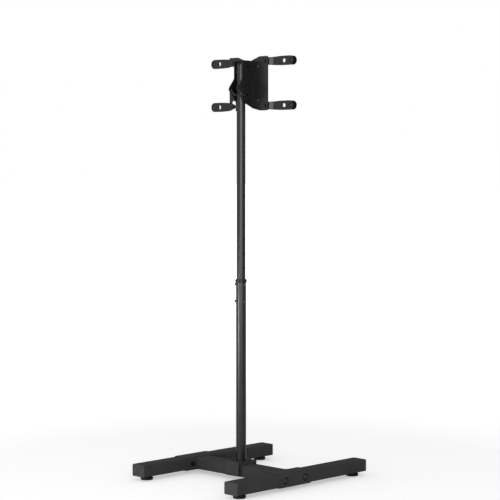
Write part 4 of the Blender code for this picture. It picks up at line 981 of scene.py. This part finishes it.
@dataclass
class Head:
    """The tilting head: brackets, front plate, bolts, rivets, arms and pads."""

    bench: Bench  # maker of the pieces
    sheet: float = 3.0 * MM  # thickness of the brackets' sheet
    sheet_edge: float = 0.5 * MM  # rounding of the punched sheets' edges
    bend_outer: float = 2.6 * MM  # outer radius of the brackets' bend
    bend_inner: float = 0.3 * MM  # fillet inside the brackets' bend
    clamp_socket: Pair = (4.0 * MM, 2.2 * MM)  # width over the flats and depth of the clamp bolt's socket
    # radius and height of a pad's stud, and width of the slope at its end
    stud: Point = (4.4 * MM, 1.8 * MM, 0.5 * MM)
    rims: Pair = (0.7 * MM, 2.0 * MM)  # rounding of the pad's rim at the arm, and of its outer rim
    # corners of the groove round it: depth, share of the pad's height
    groove: Profile = ((0.0, 0.42), (0.6 * MM, 0.47), (0.6 * MM, 0.53), (0.0, 0.58))
    # corners of the dish in its face: share of the radius, depth
    dish: Profile = ((0.55, 0.0), (0.5, 0.5 * MM), (0.0, 0.5 * MM))
    # radius, height and rounding of the screw's head on the stud
    screw: Point = (3.8 * MM, 0.9 * MM, 0.5 * MM)
    # radius, start and length of the cutter of its socket
    screw_socket: Point = (1.7 * MM, 0.3 * MM, 2.0 * MM)

    def build(self) -> None:
        """Build every piece of the head."""
        for side in SIDES:
            self.bracket(side)
        self.bench.dress("front_plate", SHEET, self.sheet_edge)
        self.bench.dress("tilt_bolt", BLACKED, SCREW_EDGE)
        self.bench.socketed("clamp_bolt", OUTWARD["left"], self.clamp_socket, BLACKED)
        for level in LEVELS:
            for side in SIDES:
                place = "_".join((level, side))
                self.bench.dress("plate_rivet_" + place, BOLT, SMALL_EDGE)
                self.bench.dress("arm_pivot_" + place, BOLT, PART_EDGE)
                self.bench.dress("arm_" + place, SHEET, self.sheet_edge)
                self.pad(place)

    def bracket(self, side: str) -> None:
        """Build a folded bracket with a rounded bend.

        Args:
            side: Side of the bracket.
        """
        node = "bracket_" + side
        mesh = self.bench.solid(node)
        low, high = self.bench.corners(node)
        inner = high.x if side == "left" else low.x

        def at_bend(edge: bmesh.types.BMEdge, inset: float) -> bool:
            """Tell whether an edge runs up the bend.

            Args:
                edge: The edge.
                inset: How far under the bend's outside it should run.

            Returns:
                True where both its ends lie there.
            """
            across, depth = inner + OUTWARD[side].x * inset, low.y + inset
            return all(abs(vert.co.x - across) < BEND_TOLERANCE and abs(vert.co.y - depth) < BEND_TOLERANCE
                       for vert in edge.verts)

        self.bench.soften(mesh, self.bend_outer, 5, lambda edge: at_bend(edge, 0.0))
        self.bench.soften(mesh, self.bend_inner, 4, lambda edge: at_bend(edge, self.sheet))
        self.bench.soften(mesh, self.sheet_edge)
        self.bench.place(node + "_finished", mesh, SHEET, "head", (node,))

    def pad(self, place: str) -> None:
        """Build the rubber pad of an arm with a stepped, rounded rim, and the screw that holds it.

        Args:
            place: Level and side of the arm.
        """
        node = "arm_pad_" + place
        low, high = self.bench.corners(node)
        centre = (low + high) * HALF
        radius = (high.x - low.x) * HALF
        stud, sunk, slope = self.stud
        rim, dome = self.rims
        height = high.y - low.y - sunk
        profile = [(0.0, -sunk), (stud - slope, -sunk), (stud, -sunk + slope), (stud, 0.0)]
        profile += arc(radius - rim, rim, rim, -90.0, 0.0, 4)
        profile += [(radius - depth, height * share) for depth, share in self.groove]
        profile += arc(radius - dome, height - dome, dome, 0.0, 90.0, 6)
        profile += [(radius * share, height - depth) for share, depth in self.dish]
        base = Vector((centre.x, low.y + height, centre.z))
        body = self.bench.owner[node]
        self.bench.place(node + "_finished", turned(profile, base, FORWARD), RUBBER, body, (node,))
        size, tall, edge = self.screw
        profile = [(0.0, 0.0), (size, 0.0), *arc(size - edge, tall - edge, edge, 0.0, 90.0, 4), (0.0, tall)]
        screw = turned(profile, base - FORWARD * sunk, -FORWARD, SCREW_STEPS)
        size, deep, long = self.screw_socket
        cutter = hexagon(size, base - FORWARD * (sunk + deep), -FORWARD, long)
        self.bench.place("pad_screw_" + place, self.bench.carve(screw, cutter), STEEL, body)


@dataclass(frozen=True)
class Softbox:
    """One rectangular soft lamp."""

    name: str
    place: Point  # where it hangs
    target: Point  # what it points at
    width: float  # its width, in metres
    height: float  # its height, in metres
    power: float  # its power, in watts


@dataclass(frozen=True)
class DarkPanel:
    """A dark stretch of the studio's wall, which only reflections see."""

    azimuth: float  # direction of its middle, in degrees from -Y towards +X
    core: float  # half the angle over which it is darkest, in degrees
    edge: float  # half the angle at which it has faded away, in degrees
    strength: float  # strength of the world's light in its core


@dataclass
class Studio:
    """The floor, the backdrop, the lamps and the camera."""

    lens: float = 120.08  # focal length, in millimetres
    sensor: float = 36.0  # width of the sensor, in millimetres
    camera_place: Point = (-4.085, 4.0995, 1.0958)  # where the camera stands
    camera_way: Point = (0.7059, -0.7083, -0.0517)  # way that it looks
    ambient: float = 0.53  # strength of the world for diffuse light
    # dark panels that only reflections see
    panels: tuple[DarkPanel, ...] = (
        DarkPanel(azimuth=0.0, core=38.0, edge=56.0, strength=0.08),
        DarkPanel(azimuth=82.0, core=25.0, edge=50.0, strength=0.4),
    )
    floor_half: float = 60.0  # half the length of the floor's sides
    floor_drop: float = 0.2 * MM  # how far the floor lies under the feet
    floor_gloss: Pair = (0.9, 0.1)  # its roughness and specular level
    glow: Pair = (0.4, 0.9)  # how far the floor is lifted towards white, beside the stand and far away
    glow_ends: Pair = (1.0, 4.0)  # distances from the stand at which those two hold
    # the soft lamps
    softboxes: tuple[Softbox, ...] = (
        Softbox("rear", (0.4, 4.6, 1.4), (0.0, 0.0, 0.8), width=1.0, height=2.0, power=7.0),
        Softbox("key", (-4.5, 4.3, 1.4), (0.0, 0.0, 0.8), width=5.6, height=2.6, power=206.0),
        Softbox("low", (0.7, 3.2, 0.25), (0.0, 0.0, 0.04), width=2.0, height=0.3, power=33.0),
    )

    def build(self) -> None:
        """Build the whole studio."""
        self.world()
        self.floor()
        self.camera()
        for softbox in self.softboxes:
            self.lamp(softbox)

    def world(self) -> None:
        """Give the world a white backdrop and a weaker, even light."""
        world = bpy.data.worlds.new("studio_world")
        bpy.context.scene.world = world
        world.use_nodes = True
        pen = NodePen(world.node_tree)
        shine = world.node_tree.nodes["Background"].inputs
        shine["Color"].default_value = WHITE
        ray = pen.add("ShaderNodeLightPath").outputs
        seen = pen.math("ADD", ray["Is Camera Ray"], ray["Is Glossy Ray"])
        seen = pen.math("MINIMUM", pen.math("ADD", seen, ray["Is Transmission Ray"]), 1.0)
        way = pen.add("ShaderNodeTexCoord").outputs["Generated"]
        left = 1.0
        for panel in self.panels:
            ahead = pen.add("ShaderNodeVectorMath", operation="DOT_PRODUCT")
            pen.link(way, ahead.inputs[0])
            turn = radians(panel.azimuth)
            ahead.inputs[1].default_value = (sin(turn), -cos(turn), 0.0)
            edge, core = cos(radians(panel.edge)), cos(radians(panel.core))
            dimmed = pen.spread(ahead.outputs["Value"], (edge, core), (1.0, panel.strength))
            left = pen.math("MULTIPLY", left, dimmed)
        mirrored = pen.math("MULTIPLY", ray["Is Glossy Ray"], pen.math("SUBTRACT", 1.0, left))
        white = pen.math("SUBTRACT", 1.0, mirrored)
        pen.link(pen.spread(seen, (0.0, 1.0), (self.ambient, white)), shine["Strength"])
        bpy.context.scene.view_settings.view_transform = "Standard"

    def floor(self) -> None:
        """Lay a pale floor that runs out to the white backdrop."""
        mesh = bmesh.new()
        bmesh.ops.create_grid(mesh, x_segments=4, y_segments=4, size=self.floor_half)
        data = bpy.data.meshes.new("floor")
        mesh.to_mesh(data)
        mesh.free()
        floor = put("floor", data)
        floor.location = (0.0, 0.0, -self.floor_drop)
        data.materials.append(self.floor_material())

    def floor_material(self) -> bpy.types.Material:
        """Make the pale floor's material, white to the camera apart from the stand's shadow.

        Returns:
            The material.
        """
        material = bpy.data.materials.new("studio_floor")
        material.use_nodes = True
        pen = NodePen(material.node_tree)
        shader = material.node_tree.nodes["Principled BSDF"].inputs
        shader["Base Color"].default_value = (*Hue.FLOOR.value, 1.0)
        shader["Roughness"].default_value, shader["Specular IOR Level"].default_value = self.floor_gloss
        ray = pen.add("ShaderNodeLightPath")
        away = pen.add("ShaderNodeVectorMath", operation="LENGTH")
        pen.link(pen.add("ShaderNodeTexCoord").outputs["Object"], away.inputs[0])
        glow = pen.spread(away.outputs["Value"], self.glow_ends, self.glow)
        shader["Emission Color"].default_value = WHITE
        pen.link(pen.math("MULTIPLY", ray.outputs["Is Camera Ray"], glow), shader["Emission Strength"])
        return material

    @staticmethod
    def lamp(softbox: Softbox) -> None:
        """Hang one softbox.

        Args:
            softbox: The lamp's place, size and power.
        """
        data = bpy.data.lights.new(softbox.name + "_softbox", "AREA")
        data.shape = "RECTANGLE"
        data.size = softbox.width
        data.size_y = softbox.height
        data.energy = softbox.power
        lamp = put(data.name, data)
        lamp.location = softbox.place
        way = Vector(softbox.target) - Vector(softbox.place)
        lamp.rotation_euler = way.to_track_quat("-Z", "Y").to_euler()

    def camera(self) -> None:
        """Place the camera at the photograph's viewpoint."""
        data = bpy.data.cameras.new("camera")
        data.lens = self.lens
        data.sensor_width = self.sensor
        camera = put("camera", data)
        camera.location = self.camera_place
        camera.rotation_euler = Vector(self.camera_way).to_track_quat("-Z", "Y").to_euler()
        bpy.context.scene.camera = camera


def main() -> None:
    """Dress the whole stand and build the studio."""
    logging.basicConfig(level=logging.INFO, format="%(message)s", stream=sys.stdout)
    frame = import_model()
    bodies = frame["record"]["behaviour"]["bodies"]
    owner = {node: body for body, nodes in bodies.items() for node in nodes}
    bench = Bench(frame["nodes"], owner, Palette(Effects()))
    Studio().build()
    Base(bench).build()
    Pole(bench).build()
    Head(bench).build()


if __name__ == "__main__":
    main()
